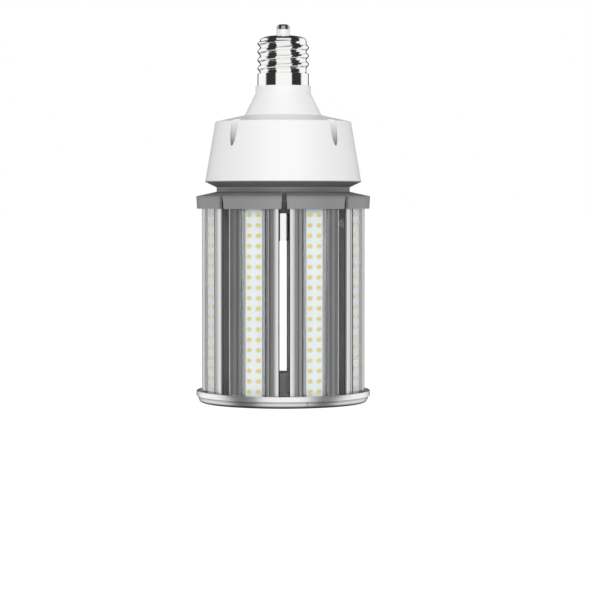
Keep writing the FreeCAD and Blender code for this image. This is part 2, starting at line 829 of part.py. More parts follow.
# Driver housing. A moulded shell with four screw wells whose upper ends break out of the flared wall.
housing = turned("driver_housing", [
    (flange_radius - housing_wall, seam_height),
    (flange_radius, seam_height),
    (shoulder_radius, shoulder_height),
    (cone_radius, cone_height),
    (base_neck_radius, base_neck_foot),
    (base_neck_radius, base_neck_top),
    (spigot_radius, base_neck_top),
    (spigot_radius, spigot_top),
    (spigot_bore, spigot_top),
    (spigot_bore, base_neck_foot),
    (cone_radius - cone_wall, cone_height - cone_wall),
    (shoulder_radius - housing_wall, shoulder_height - cone_wall)])
tower_sketch = new_sketch(housing, "XY_Plane", seam_height)
add_circle(tower_sketch, well_across, well_across, well_radius + well_wall)
tower = pad(housing, tower_sketch, shoulder_height - seam_height)
around(housing, [tower], well_count)
trim_sketch = new_sketch(housing, "XZ_Plane")
trim_reach = flange_radius * 1.5
add_loop(trim_sketch, [
    (flange_radius, seam_height),
    (trim_reach, seam_height),
    (trim_reach, cone_height),
    (cone_radius, cone_height),
    (shoulder_radius, shoulder_height)])
trimmed = revolve(housing, trim_sketch, "PartDesign::Groove")
housing.Tip = trimmed
doc.recompute()
rim_names = level_edges(trimmed.Shape, shoulder_radius, shoulder_height)
round_edges(housing, trimmed, rim_names, shoulder_round)
well_depth = cone_height - well_floor
drill(housing, cone_height, well_across, well_across, well_radius, well_depth, False, well_count)
drill(housing, seam_height, well_across, well_across, screw_hole, well_floor - seam_height, True, well_count)
pieces.append(housing)

# Screw shell. Thin plated metal: plain skirt, root wall, domed end, and the rolled thread about it.
shell = turned("screw_shell", [
    (shell_bore, base_neck_top),
    (skirt_radius, base_neck_top),
    (skirt_radius, skirt_top),
    (thread_root, skirt_top + bead_sink),
    (thread_root, shell_shoulder),
    (dome_one_radius, dome_one_height),
    (dome_two_radius, dome_two_height),
    (dome_mouth, dome_top),
    (dome_mouth, dome_top - shell_wall),
    (dome_two_radius, dome_two_height - shell_wall),
    (dome_one_radius - shell_wall, dome_one_height - shell_wall),
    (shell_bore, shell_shoulder)])
bead_sketch = new_sketch(shell, "XZ_Plane")
bead_low = thread_root - bead_sink
bead_rise = thread_root + bead_sink
bead_high = thread_crest - bead_sink
add_loop(bead_sketch, [
    (bead_low, thread_start - bead_half),
    (bead_rise, thread_start - bead_foot_half),
    (bead_high, thread_start - bead_flank_half),
    (thread_crest, thread_start - bead_crest_half),
    (thread_crest, thread_start + bead_crest_half),
    (bead_high, thread_start + bead_flank_half),
    (bead_rise, thread_start + bead_foot_half),
    (bead_low, thread_start + bead_half)])
bead = shell.newObject("PartDesign::AdditiveHelix", "screw_shell_thread")
bead.Profile = bead_sketch
bead.ReferenceAxis = (bead_sketch, ["V_Axis"])
bead.Mode = "pitch-turns-angle"
bead.Pitch = thread_pitch.number
bead.setExpression("Pitch", thread_pitch.text)
bead.Turns = thread_turns.number
bead.setExpression("Turns", thread_turns.text)
bead.LeftHanded = False
shell.Tip = bead
fade_sketch = new_sketch(shell, "XZ_Plane")
fade_reach = thread_crest + thread_fade
fade_top = dome_top + thread_fade
add_loop(fade_sketch, [
    (thread_root, shell_shoulder),
    (fade_reach, shell_shoulder - thread_fade),
    (fade_reach, fade_top),
    (dome_one_radius, fade_top),
    (dome_one_radius, dome_one_height)])
faded = revolve(shell, fade_sketch, "PartDesign::Groove")
shell.Tip = faded
pieces.append(shell)

# Insulator. A plug that fills the shell's domed end, with the post that lifts the contact clear.
insulator_bore = stem_radius + hole_gap
pieces.append(turned("base_insulator", [
    (insulator_bore, plug_foot),
    (shell_bore - slide_gap, plug_foot),
    (shell_bore - slide_gap, shell_shoulder - slide_gap),
    (dome_one_radius - shell_wall, dome_one_height - shell_wall),
    (dome_two_radius, dome_two_height - shell_wall),
    (dome_mouth - slide_gap, dome_top - shell_wall),
    (post_base_radius, post_base_top),
    (insulator_radius, insulator_shoulder),
    (insulator_radius, insulator_top),
    (insulator_bore, insulator_top)]))

# Contact. A button with its rivet stem.
pieces.append(turned("center_contact", [
    (ZERO, stem_foot),
    (stem_radius, stem_foot),
    (stem_radius, insulator_top),
    (contact_radius, insulator_top),
    (contact_radius, contact_edge),
    (contact_flat, contact_top),
    (ZERO, contact_top)]))


def make_screws(label, spot, seat, length, downward, count, first_turn):
    """A ring of pan-head screws: heads on one seat, shanks pointing up or down."""
    body = new_body(label)
    body.AllowCompound = True
    head = new_sketch(body, "XY_Plane", seat)
    add_circle(head, spot, ZERO, screw_head)
    head_pad = pad(body, head, screw_head_rise, not downward)
    doc.recompute()
    crown_height = seat + screw_head_rise if downward else seat - screw_head_rise
    crown = level_edges(head_pad.Shape, screw_head, crown_height)
    round_edges(body, head_pad, crown, screw_head_edge)
    shank = new_sketch(body, "XY_Plane", seat)
    add_circle(shank, spot, ZERO, screw_shank)
    pad(body, shank, length, downward)
    whole = around(body, [], count)
    whole.TransformMode = "Whole shape"
    turn_by(body, first_turn)
    return body


quarter = 90.0
pieces.append(make_screws("fin_screws_top", boss_centre, cup_floor, fin_screw_length, True, fin_count,
                          strip_angle(0)))
pieces.append(make_screws("fin_screws_bottom", boss_centre, tray_under, fin_screw_length, False, fin_count,
                          strip_angle(0)))
pieces.append(make_screws("housing_screws", well_centre, well_floor, housing_screw_length, True, well_count,
                          quarter / 2))
pieces.append(make_screws("hub_screws", hub_screw_radius, hub_seat, hub_screw_length, True, well_count,
                          quarter))
pieces.append(make_screws("board_screws", standoff_centre, driver_top, board_screw_length, True, well_count,
                          quarter))

# Driver. A round board on the four posts of the cap, with its three large parts.
driver = new_body("driver_board")
driver_sketch = new_sketch(driver, "XY_Plane", driver_under)
add_circle(driver_sketch, ZERO, ZERO, driver_radius)
pad(driver, driver_sketch, driver_wall)
drill(driver, driver_under, standoff_centre, ZERO, screw_hole, driver_wall, True, well_count)
pieces.append(driver)

transformer = new_body("transformer")
coil_sketch = new_sketch(transformer, "XY_Plane", driver_top)
coil_near = coil_centre - coil_half
coil_far = coil_centre + coil_half
add_loop(coil_sketch, [
    (-coil_length * 0.5, coil_near),
    (coil_length * 0.5, coil_near),
    (coil_length * 0.5, coil_far),
    (-coil_length * 0.5, coil_far)])
pad(transformer, coil_sketch, coil_rise)
core_sketch = new_sketch(transformer, "XY_Plane", driver_top + core_start * 0.5)
add_loop(core_sketch, [
    (-core_length * 0.5, coil_centre - core_half),
    (core_length * 0.5, coil_centre - core_half),
    (core_length * 0.5, coil_centre + core_half),
    (-core_length * 0.5, coil_centre + core_half)])
pad(transformer, core_sketch, coil_rise)
pieces.append(transformer)

cans = new_body("bulk_capacitors")
cans.AllowCompound = True
can_sketch = new_sketch(cans, "XY_Plane", driver_top)
add_circle(can_sketch, can_across, can_back, can_radius)
add_circle(can_sketch, -can_across, can_back, can_radius)
can_pad = pad(cans, can_sketch, can_rise)
doc.recompute()
round_edges(cans, can_pad, level_edges(can_pad.Shape, can_radius, driver_top + can_rise), can_edge)
pieces.append(cans)

choke = new_body("filter_choke")
choke_sketch = new_sketch(choke, "XY_Plane", driver_top)
add_circle(choke_sketch, ZERO, choke_back, choke_radius)
add_circle(choke_sketch, ZERO, choke_back, choke_bore)
pad(choke, choke_sketch, choke_rise)
pieces.append(choke)

# Wires. The line lead runs up the axis to the contact's stem; the neutral turns out to the shell.
line = new_body("line_lead")
line_sketch = new_sketch(line, "XY_Plane", driver_top)
add_circle(line_sketch, ZERO, ZERO, wire_radius)
pad(line, line_sketch, stem_foot - driver_top)
pieces.append(line)

neutral = new_body("neutral_lead")
neutral_path = new_sketch(neutral, "XZ_Plane")
add_path(neutral_path, [
    (neutral_across, driver_top),
    (neutral_across, neutral_turn),
    (shell_bore - slide_gap, neutral_turn)])
neutral_section = new_sketch(neutral, "XY_Plane", driver_top)
add_circle(neutral_section, neutral_across, ZERO, wire_radius)
neutral_pipe = neutral.newObject("PartDesign::AdditivePipe", "neutral_lead_pipe")
neutral_pipe.Profile = neutral_section
neutral_pipe.Spine = (neutral_path, [])
neutral_pipe.Transition = "Round corner"
pieces.append(neutral)

leads = new_body("led_leads")
leads.AllowCompound = True
lead_path = new_sketch(leads, "XZ_Plane", -lead_across)
lead_front = board_front + lead_radius
lead_height = strip_top + lead_lift
add_path(lead_path, [
    (lead_front, lead_pad),
    (lead_front, lead_height),
    (lead_inner, lead_height),
    (lead_inner, driver_under)])
lead_section = new_sketch(leads, "XY_Plane", lead_pad)
add_circle(lead_section, lead_front, lead_across, lead_radius)
lead_pipe = leads.newObject("PartDesign::AdditivePipe", "led_leads_pipe")
lead_pipe.Profile = lead_section
lead_pipe.Spine = (lead_path, [])
lead_pipe.Transition = "Round corner"
around(leads, [lead_pipe], fin_count)
turn_by(leads, strip_angle(0))
pieces.append(leads)

doc.recompute()

for item in doc.Objects:
    if "Invalid" in item.State or "Error" in item.State:
        raise RuntimeError(item.Label + " did not build")

os.makedirs("parts", exist_ok=True)
for piece in pieces:
    if piece.Shape.isNull() or not piece.Shape.isValid():
        raise RuntimeError(piece.Label + " has no sound shape")
    piece.Shape.exportStep("parts/" + piece.Label + ".step")
    box = piece.Shape.BoundBox
    print(piece.Label, len(piece.Shape.Solids), "solids from", round(box.ZMin, 2), "to", round(box.ZMax, 2))
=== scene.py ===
# %% [markdown]
# A corn lamp stands on its bright base ring, screw base up. The frame holds its solids: here they get
# their finishes, and the pieces whose charm is in the curves (the rolled thread, the spun ring, the
# packages, the screw heads) are worked out again as smooth surfaces in the same place.

# %% Load the frame and keep its box
import math

import bmesh
import bpy
import numpy as np
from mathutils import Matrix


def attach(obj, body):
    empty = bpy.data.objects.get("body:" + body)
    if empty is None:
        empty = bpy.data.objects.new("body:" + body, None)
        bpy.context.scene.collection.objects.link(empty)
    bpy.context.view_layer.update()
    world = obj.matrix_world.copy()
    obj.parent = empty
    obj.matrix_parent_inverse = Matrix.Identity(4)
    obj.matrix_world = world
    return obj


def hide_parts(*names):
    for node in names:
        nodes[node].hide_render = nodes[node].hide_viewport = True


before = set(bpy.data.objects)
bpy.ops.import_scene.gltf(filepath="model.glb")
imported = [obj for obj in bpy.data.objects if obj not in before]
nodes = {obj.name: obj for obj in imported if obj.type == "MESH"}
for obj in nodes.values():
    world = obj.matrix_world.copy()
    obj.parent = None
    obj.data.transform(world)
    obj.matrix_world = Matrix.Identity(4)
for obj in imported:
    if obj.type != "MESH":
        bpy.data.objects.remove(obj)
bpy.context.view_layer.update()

# %% [markdown]
# Every new piece is a grid of points, rows by columns. Neighbouring points make four-sided faces, and
# index arithmetic on whole arrays writes all the faces at once. The columns always close round the
# piece, the rows may close too, and a row that shrinks to one point makes a pole: its doubles are merged.

# %% Turn a grid of points into a piece
MM = 0.001
MERGE_DISTANCE = 1e-6


def grid_faces(rows, columns, loop_rows):
    """Corner numbers of the faces between each grid point and its right, upper and diagonal neighbours."""
    down = np.arange(rows if loop_rows else rows - 1)[:, None]
    across = np.arange(columns)[None, :]
    next_down = (down + 1) % rows
    next_across = (across + 1) % columns
    corners = [down * columns + across, down * columns + next_across,
               next_down * columns + next_across, next_down * columns + across]
    shape = (down.size, across.size)
    return np.stack([np.broadcast_to(corner, shape) for corner in corners], axis=-1).reshape(-1, 4)


def merge_doubles(mesh):
    """Join points that coincide, so that poles and seams are closed, and point all faces outward."""
    work = bmesh.new()
    work.from_mesh(mesh)
    bmesh.ops.remove_doubles(work, verts=work.verts, dist=MERGE_DISTANCE)
    bmesh.ops.recalc_face_normals(work, faces=work.faces)
    work.to_mesh(mesh)
    work.free()
    mesh.update()


def add_piece(name, points, loop_rows=False, smooth_angle=35.0, face_kinds=None):
    """Build one mesh from copies of a grid: points has the axes (copy, row, column, xyz), in metres."""
    copies, rows, columns, _ = points.shape
    faces = grid_faces(rows, columns, loop_rows)
    faces = (faces[None] + np.arange(copies)[:, None, None] * rows * columns).reshape(-1, 4)
    mesh = bpy.data.meshes.new(name)
    mesh.from_pydata(points.reshape(-1, 3), [], faces)
    if face_kinds is not None:
        mesh.polygons.foreach_set("material_index", np.tile(face_kinds, copies).astype(np.int32))
    merge_doubles(mesh)
    mesh.polygons.foreach_set("use_smooth", np.ones(len(mesh.polygons), dtype=bool))
    mesh.set_sharp_from_angle(angle=math.radians(smooth_angle))
    piece = bpy.data.objects.new(name, mesh)
    bpy.context.scene.collection.objects.link(piece)
    return piece


def finish_piece(piece, node, materials):
    """Let a piece stand for a node, ride on the body, and wear its materials."""
    for material in materials:
        piece.data.materials.append(material)
    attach(piece, "root")
    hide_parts(node)
    size = [round(side / MM, 2) for side in piece.dimensions]
    print(piece.name, len(piece.data.polygons), "faces", size, "mm")


print("grid helpers ready")

# %% [markdown]
# Most turned pieces start from a profile of radius and height with rounded corners. Each corner is
# replaced by a short arc: the two edges are cut back by the same length, and a quadratic curve that
# leans on the old corner joins the cuts. Sizes of pieces are written in millimetres.

# %% Round the corners of a profile and turn it
SHORTEST_EDGE = 1e-9
SAME_SPOT = 1e-6


def toward(step, length):
    """A step shortened to the given length along its own direction."""
    return step / np.maximum(np.linalg.norm(step, axis=1, keepdims=True), SHORTEST_EDGE) * length


def rounded(profile, steps=5):
    """Profile rows are (radius, height, cut): each corner becomes a quadratic curve over its cut length."""
    table = np.array(profile, dtype=float)
    spots = table[:, :2]
    cut = table[:, 2:]
    start = spots + toward(np.roll(spots, 1, axis=0) - spots, cut)
    end = spots + toward(np.roll(spots, -1, axis=0) - spots, cut)
    t = np.linspace(0.0, 1.0, steps)[None, :, None]
    curve = (1 - t) ** 2 * start[:, None] + 2 * t * (1 - t) * spots[:, None] + t ** 2 * end[:, None]
    flat = curve.reshape(-1, 2)
    moved = np.linalg.norm(flat - np.roll(flat, 1, axis=0), axis=1) > SAME_SPOT
    return flat[moved]


def around_axis(radius, height, angles):
    """Points x = radius cos angle, y = radius sin angle, z = height, as one copy of a grid, in metres."""
    x = radius * np.cos(angles)[None]
    y = radius * np.sin(angles)[None]
    return np.stack([x, y, np.broadcast_to(height, x.shape)], axis=-1)[None] * MM


def turned(profile, angles):
    """The radius and height of each profile row, carried round the lamp axis through the angles."""
    return around_axis(profile[:, :1], profile[:, 1:], angles)


def full_turn(count):
    """Evenly spaced angles of one turn, without the repeated last one."""
    return np.arange(count) * (2 * math.pi / count)


print("profile helpers ready")

# %% [markdown]
# Shader maths reads like ordinary arithmetic when a small class wraps a node's output. Adding two of
# them adds a Math node, and one method adds any other node with its settings and its inputs.


# %% A wire between shader nodes
class Wire:
    """One output of a node; arithmetic on it adds Math nodes to the same tree."""

    def __init__(self, tree, socket=None):
        self.tree = tree
        self.socket = socket

    def add(self, kind, settings=None, inputs=None, out=0):
        """Add a node of a kind, set its settings, fill its inputs, and wrap one of its outputs."""
        node = self.tree.nodes.new(kind)
        for name, value in (settings or {}).items():
            if name == "stops":
                for _ in value[2:]:
                    node.color_ramp.elements.new(0.5)
                for stop, (place, colour) in zip(node.color_ramp.elements, value):
                    stop.position = place
                    stop.color = colour
            else:
                setattr(node, name, value)
        for name, value in (inputs or {}).items():
            if isinstance(value, Wire):
                self.tree.links.new(value.socket, node.inputs[name])
            else:
                node.inputs[name].default_value = value
        return Wire(self.tree, node.outputs[out])

    def math(self, operation, first, second=0.0):
        """Add a Math node."""
        return self.add("ShaderNodeMath", {"operation": operation}, {0: first, 1: second})

    def __add__(self, other):
        return self.math("ADD", self, other)

    def __sub__(self, other):
        return self.math("SUBTRACT", self, other)

    def __mul__(self, other):
        return self.math("MULTIPLY", self, other)

    def __truediv__(self, other):
        return self.math("DIVIDE", self, other)

    def __radd__(self, other):
        return self.math("ADD", other, self)

    def __rsub__(self, other):
        return self.math("SUBTRACT", other, self)

    def __rmul__(self, other):
        return self.math("MULTIPLY", other, self)

    def __lt__(self, other):
        return self.math("LESS_THAN", self, other)

    def __gt__(self, other):
        return self.math("GREATER_THAN", self, other)

    def absolute(self):
        return self.math("ABSOLUTE", self)

    def larger(self, other):
        return self.math("MAXIMUM", self, other)

    def from_nearest(self):
        """How far this value lies from the nearest whole number."""
        return self - self.math("ROUND", self)

    def blend(self, low, high):
        """Mix two colours by this value."""
        return self.add("ShaderNodeMix", {"data_type": "RGBA"}, {0: self, 6: low, 7: high}, out=2)


print("wires ready")

# %% [markdown]
# A finish is one Principled shader. What is the same all over the surface is set on its sockets, and
# what wanders over the surface (colour, roughness, a fine bump) comes in by wires, mostly from noise
# in Object coordinates that is stretched the way the tool ran.


# %% Helpers for finishes
def start_finish(name, **constants):
    """A material whose Principled shader has these constant sockets, and a wire into its tree."""
    material = bpy.data.materials.new(name)
    material.use_nodes = True
    shader = material.node_tree.nodes["Principled BSDF"]
    for socket, value in constants.items():
        shader.inputs[socket.replace("_", " ")].default_value = value
    return material, shader, Wire(material.node_tree)


def feed(shader, **wires):
    """Link wires into the shader's sockets."""
    for socket, wire in wires.items():
        wire.tree.links.new(wire.socket, shader.inputs[socket.replace("_", " ")])


def show_other(material, shader, factor, other):
    """Show the Principled shader where the factor is zero, and the other shader where it is one."""
    both = factor.add("ShaderNodeMixShader", None,
                      {0: factor, 1: Wire(factor.tree, shader.outputs[0]), 2: other})
    factor.tree.links.new(both.socket, material.node_tree.nodes["Material Output"].inputs["Surface"])


def grey(level):
    """A neutral colour of this level."""
    return (level, level, level, 1.0)


def object_place(wire, scale):
    """Object coordinates stretched by three factors, so that a pattern runs the way the tool ran."""
    place = wire.add("ShaderNodeTexCoord", out="Object")
    return wire.add("ShaderNodeMapping", {"vector_type": "POINT"}, {"Vector": place, "Scale": scale})


def noise(wire, place, detail):
    """Soft noise over a place, with more or less fine detail."""
    return wire.add("ShaderNodeTexNoise", {"noise_dimensions": "3D"},
                    {"Vector": place, "Scale": 1.0, "Detail": detail})


def bump(wire, height, strength, distance):
    """A normal that is tilted by the slope of a height."""
    return wire.add("ShaderNodeBump", None, {"Height": height, "Strength": strength, "Distance": distance})


def fade(wire, value, low, high):
    """Zero below the low value, one above the high value, and a smooth rise between them."""
    return wire.add("ShaderNodeMapRange", {"interpolation_type": "SMOOTHSTEP"},
                    {"Value": value, "From Min": low, "From Max": high})


print("finish helpers ready")

# %% [markdown]
# The lamp is round and its strips repeat every eighth of a turn. A finish that knows the radius, the
# direction and the height of a point, or its distance out and across on the nearest strip, can draw
# circles, grooves and pads in their real places, and one material serves all eight strips.

# %% Places on the lamp
STRIPS = 8
STRIP_STEP = math.radians(45.0)
FIRST_STRIP = math.radians(-67.5)


def split(wire, vector):
    """The x, y and z of a vector."""
    node = wire.add("ShaderNodeSeparateXYZ", None, {0: vector}).socket.node
    return [Wire(wire.tree, socket) for socket in node.outputs]


def axis_parts(wire):
    """Radius from the lamp axis, direction about it, and height, from Object coordinates."""
    x, y, z = split(wire, wire.add("ShaderNodeTexCoord", out="Object"))
    return wire.math("SQRT", x * x + y * y), wire.math("ARCTAN2", y, x), z


def sector_parts(wire, first, step):
    """Distance out, distance across and height in the frame of whichever direction is nearest."""
    radius, angle, z = axis_parts(wire)
    off = ((angle - first) / step).from_nearest() * step
    return radius * wire.math("COSINE", off), radius * wire.math("SINE", off), z


def strip_parts(wire):
    """Distance out, distance across and height in the frame of whichever strip is nearest."""
    return sector_parts(wire, FIRST_STRIP, STRIP_STEP)


def around_place(wire, fine_radius, fine_angle, fine_height):
    """A pattern space whose three axes are radius, direction and height about the lamp axis."""
    radius, angle, z = axis_parts(wire)
    return wire.add("ShaderNodeCombineXYZ", None,
                    {0: radius * fine_radius, 1: angle * fine_angle, 2: z * fine_height})


def dress(material, *names):
    """Clear the slots of the named nodes and put this one material on all their faces."""
    for name in names:
        data = nodes[name].data
        data.materials.clear()
        data.materials.append(material)
        data.polygons.foreach_set("material_index", np.zeros(len(data.polygons), dtype=np.int32))
    print(material.name, "on", *names)


def numbered(name):
    """The names of the eight nodes of one kind, one to a strip."""
    return [name + "_" + str(k + 1) for k in range(STRIPS)]


print("place helpers ready")

# %% [markdown]
# The camera stands where the photographer stood: level with the upper half of the lamp, far away
# behind a long lens, a hair left of the front gap. A small tilt and a small shift put the lamp in the
# upper part of the square frame, as in the picture.

# %% Set the camera
FRAME_PIXELS = 590.0
FOCAL_PIXELS = 2309.0
SENSOR_WIDTH = 36.0
EYE_DISTANCE = 1.750
EYE_HEIGHT = 0.1546
EYE_TURN = math.radians(0.72)
HORIZON_ABOVE_CENTRE = 97.2
AXIS_LEFT_OF_CENTRE = 11.8
VIEW_SHIFT = -0.085
FARTHEST_VIEW = 50.0

camera_data = bpy.data.cameras.new("long_lens")
camera_data.sensor_width = SENSOR_WIDTH
camera_data.lens = SENSOR_WIDTH * FOCAL_PIXELS / FRAME_PIXELS
camera_data.shift_y = VIEW_SHIFT
camera_data.clip_end = FARTHEST_VIEW
camera = bpy.data.objects.new("long_lens", camera_data)
tilt = math.atan((HORIZON_ABOVE_CENTRE + VIEW_SHIFT * FRAME_PIXELS) / FOCAL_PIXELS)
pan = math.atan(AXIS_LEFT_OF_CENTRE / FOCAL_PIXELS)
camera.location = (-EYE_DISTANCE * math.sin(EYE_TURN), -EYE_DISTANCE * math.cos(EYE_TURN), EYE_HEIGHT)
camera.rotation_euler = (math.pi / 2 - tilt, 0.0, -EYE_TURN - pan)
bpy.context.scene.collection.objects.link(camera)
bpy.context.scene.camera = camera
bpy.context.scene.view_settings.view_transform = "Standard"
print("camera lens", round(camera_data.lens, 1), "mm, tilt", round(math.degrees(tilt), 2), "degrees")

# %% [markdown]
# Polished metal only looks like metal when it has something dark to show, so the room has a dark wall
# on each side of the lens, and darkens behind the lamp, at its ceiling and under the table. A mirror
# that is turned by some angle shows the room at twice that angle, so each wall is set by the turn of
# the metal that shows it: side / (1 - away) is the tangent of that turn. Low down the walls end
# sooner, which keeps the dark bands on the ring narrow, and straight above and below the room is only
# half dark, for the flanks of the thread. All this shows in reflections only: the lamp itself is lit
# by an even sky that dims overhead, and the camera sees plain white.

# %% The room that the metal shows
AMBIENT = 0.80
DIMMED_OVERHEAD, OVERHEAD = 0.6, (0.3, 0.95)
SEEN_RAYS = ("Is Camera Ray", "Is Glossy Ray", "Is Transmission Ray")
WALL_START, WALL_START_RIGHT, START_SOFT = 0.305, 0.040, 0.012
WALL_END, WALL_END_RIGHT, END_SOFT = 0.91, 0.05, 0.08
LOW_CUT, LOW_CUT_RIGHT, LOW_RAYS = 0.16, 0.08, (-0.085, -0.060)
CEILING_AWAY, CEILING_UP, CEILING = 0.5, 0.866, (0.78, 0.92)
TABLE_AWAY, TABLE_DOWN, TABLE = 0.55, 0.835, (0.70, 0.88)
BEHIND = (0.80, 0.90)
STEEP_DARK, STEEP = 0.62, (0.80, 0.95)
DARKNESS = 0.97
NOT_ZERO = 1.001

world = bpy.data.worlds.new("white_sweep")
world.use_nodes = True
bpy.context.scene.world = world
sky = Wire(world.node_tree)


def seen_ray(wire):
    """One for rays that show the backdrop: straight, mirrored or through a clear piece."""
    straight, mirrored, through = [wire.add("ShaderNodeLightPath", out=kind) for kind in SEEN_RAYS]
    return straight.larger(mirrored).larger(through)


side, away, up = split(sky, sky.add("ShaderNodeTexCoord", out="Generated"))
right = side > 0.0
mirror_turn = side.absolute() / (NOT_ZERO - away)
low = 1.0 - fade(sky, up, *LOW_RAYS)
past_start = mirror_turn - (WALL_START + WALL_START_RIGHT * right)
past_end = mirror_turn - (WALL_END + WALL_END_RIGHT * right - low * (LOW_CUT + LOW_CUT_RIGHT * right))
started = fade(sky, past_start, -START_SOFT, START_SOFT)
ended = fade(sky, past_end, -END_SOFT, END_SOFT)
ceiling = fade(sky, CEILING_AWAY * away + CEILING_UP * up, *CEILING)
table = fade(sky, TABLE_AWAY * away - TABLE_DOWN * up, *TABLE)
darkest = fade(sky, away, *BEHIND)
for zone in (started * (1.0 - ended), ceiling, table, STEEP_DARK * fade(sky, up.absolute(), *STEEP)):
    darkest = darkest.larger(zone)
room = 1.0 - DARKNESS * darkest
even = AMBIENT * (1.0 - DIMMED_OVERHEAD * fade(sky, up, *OVERHEAD))
straight = sky.add("ShaderNodeLightPath", out="Is Camera Ray")
shown = seen_ray(sky)
background = world.node_tree.nodes["Background"]
background.inputs["Color"].default_value = grey(1.0)
feed(background, Strength=straight + (1.0 - straight) * (shown * room + (1.0 - shown) * even))
print("room ready,", len(world.node_tree.nodes), "nodes")

# %% [markdown]
# The lamp stands on a sheet of white paper. Real paper is never quite white in a picture, so where it
# is seen it is lifted to white by a glow and keeps only a little of the light that falls on it, which
# is what shows the shadow. One wide soft box lights the lamp from the front, and a weak one from above.

# %% Paper sweep and soft boxes
SWEEP_CENTRE = (0.0, 6.0, -0.00005)
SWEEP_HALF = 12.0
PAPER_GLOW, PAPER_SHADE = 0.92, 0.28
LAMP_MIDDLE = (0.0, 0.0, 0.14)


def flat_sheet(name, centre, half_across, half_up):
    """A plain four-cornered sheet from its centre and two half sides."""
    centre, across, up = (np.array(v, dtype=float) for v in (centre, half_across, half_up))
    corners = [centre - across - up, centre + across - up, centre + across + up, centre - across + up]
    mesh = bpy.data.meshes.new(name)
    mesh.from_pydata(np.stack(corners), [], [(0, 1, 2, 3)])
    sheet = bpy.data.objects.new(name, mesh)
    bpy.context.scene.collection.objects.link(sheet)
    return sheet


def sweep_finish():
    """White paper that is lit like paper, and lifted to plain white where it is seen."""
    material, shader, wire = start_finish("sweep_paper", Base_Color=grey(0.80), Roughness=0.9,
                                          Specular_IOR_Level=0.0)
    lifted = wire.add("ShaderNodeEmission", None, {"Color": grey(1.0), "Strength": PAPER_GLOW})
    dim = wire.add("ShaderNodeBsdfDiffuse", None, {"Color": grey(PAPER_SHADE)})
    show_other(material, shader, seen_ray(wire), wire.add("ShaderNodeAddShader", None, {0: lifted, 1: dim}))
    return material


def soft_box(name, place, width, height, watts):
    """A rectangular lamp aimed at the middle of the object, kept out of mirror reflections."""
    data = bpy.data.lights.new(name, "AREA")
    data.shape = "RECTANGLE"
    data.size = width
    data.size_y = height
    data.energy = watts
    lamp = bpy.data.objects.new(name, data)
    lamp.location = place
    aim = np.array(LAMP_MIDDLE) - np.array(place)
    flat = math.hypot(aim[0], aim[1])
    lamp.rotation_euler = (math.pi / 2 + math.atan2(aim[2], flat), 0.0, math.atan2(-aim[0], aim[1]))
    lamp.visible_glossy = False
    bpy.context.scene.collection.objects.link(lamp)
    print(name, width, "by", height, "m,", watts, "W")


sweep = flat_sheet("sweep", SWEEP_CENTRE, (SWEEP_HALF, 0, 0), (0, SWEEP_HALF, 0))
sweep.data.materials.append(sweep_finish())
sweep.visible_glossy = False
soft_box("front_box", (0.0, -2.6, 0.55), 3.4, 1.8, 40.0)
soft_box("top_box", (0.0, -0.5, 2.2), 1.6, 1.6, 4.0)

# %% [markdown]
# The strips are extruded aluminium. The die leaves fine lines along the length, so the noise that drives
# roughness and bump is stretched many times along Z. The board's channel, the groove beside it, the edge of
# a wing and the metal behind the face are painted darker, as painted shade; the channel and the back are
# also rougher.

# %% Extruded aluminium
CHANNEL_HALF, CHANNEL_MOUTH = 0.0119, 0.0592
# Where painted shade falls: behind the face, in the groove beside the channel, and round the wing's edge.
SHADE_BEHIND_FACE = (0.0550, 0.0570)
GROOVE_SHADE_NEAR, GROOVE_SHADE_FAR = (0.0120, 0.0123), (0.0130, 0.0143)
WING_EDGE_SHADE, WING_FRONT = (0.0190, 0.0194), (0.0581, 0.0585)


def extruded_finish():
    """Bright lined metal, with painted shade in the channel, in the groove, round the wing's edge and
    behind the face.
    """
    material, shader, wire = start_finish("extruded_aluminium", Metallic=0.93, Specular_Tint=grey(0.5))
    lines = noise(wire, object_place(wire, (2200, 2200, 1.5)), 3.0)
    haze = noise(wire, object_place(wire, (60, 60, 14)), 3.0)
    out, across, _ = strip_parts(wire)
    reach = across.absolute()
    # Painted shade: the metal behind the face, in the channel, in the groove at the ridge's foot and round
    # the wing's edge is darkened.
    shaded_rear = 1.0 - fade(wire, out, *SHADE_BEHIND_FACE)
    shaded_inside = ((reach < CHANNEL_HALF) * (out < CHANNEL_MOUTH)).larger(shaded_rear)
    groove_shade = fade(wire, reach, *GROOVE_SHADE_NEAR) * (1.0 - fade(wire, reach, *GROOVE_SHADE_FAR))
    edge_shade = fade(wire, reach, *WING_EDGE_SHADE) * (1.0 - fade(wire, out, *WING_FRONT))
    bright = (lines * 0.6 + haze * 0.4).blend(grey(0.78), (0.90, 0.905, 0.91, 1))
    bright = (groove_shade * (1.0 - shaded_rear)).blend(bright, grey(0.48))
    bright = edge_shade.blend(bright, grey(0.28))
    shade_colour = shaded_rear.blend(grey(0.46), grey(0.76))
    feed(shader, Base_Color=shaded_inside.blend(bright, shade_colour),
         Roughness=0.20 + lines * 0.14 + haze * 0.06 + shaded_inside * 0.12,
         Normal=bump(wire, lines, 0.10, 0.00006))
    return material


dress(extruded_finish(), *numbered("heat_sink"))

# %% [markdown]
# The boards are aluminium plates with a white solder mask. Under the mask run copper tracks, which
# show as faint raised lines, and beside each package sits a pair of bright tinned pads. All of it is
# drawn from the distances to the nearest package. The bare aluminium shows at the cut edges.

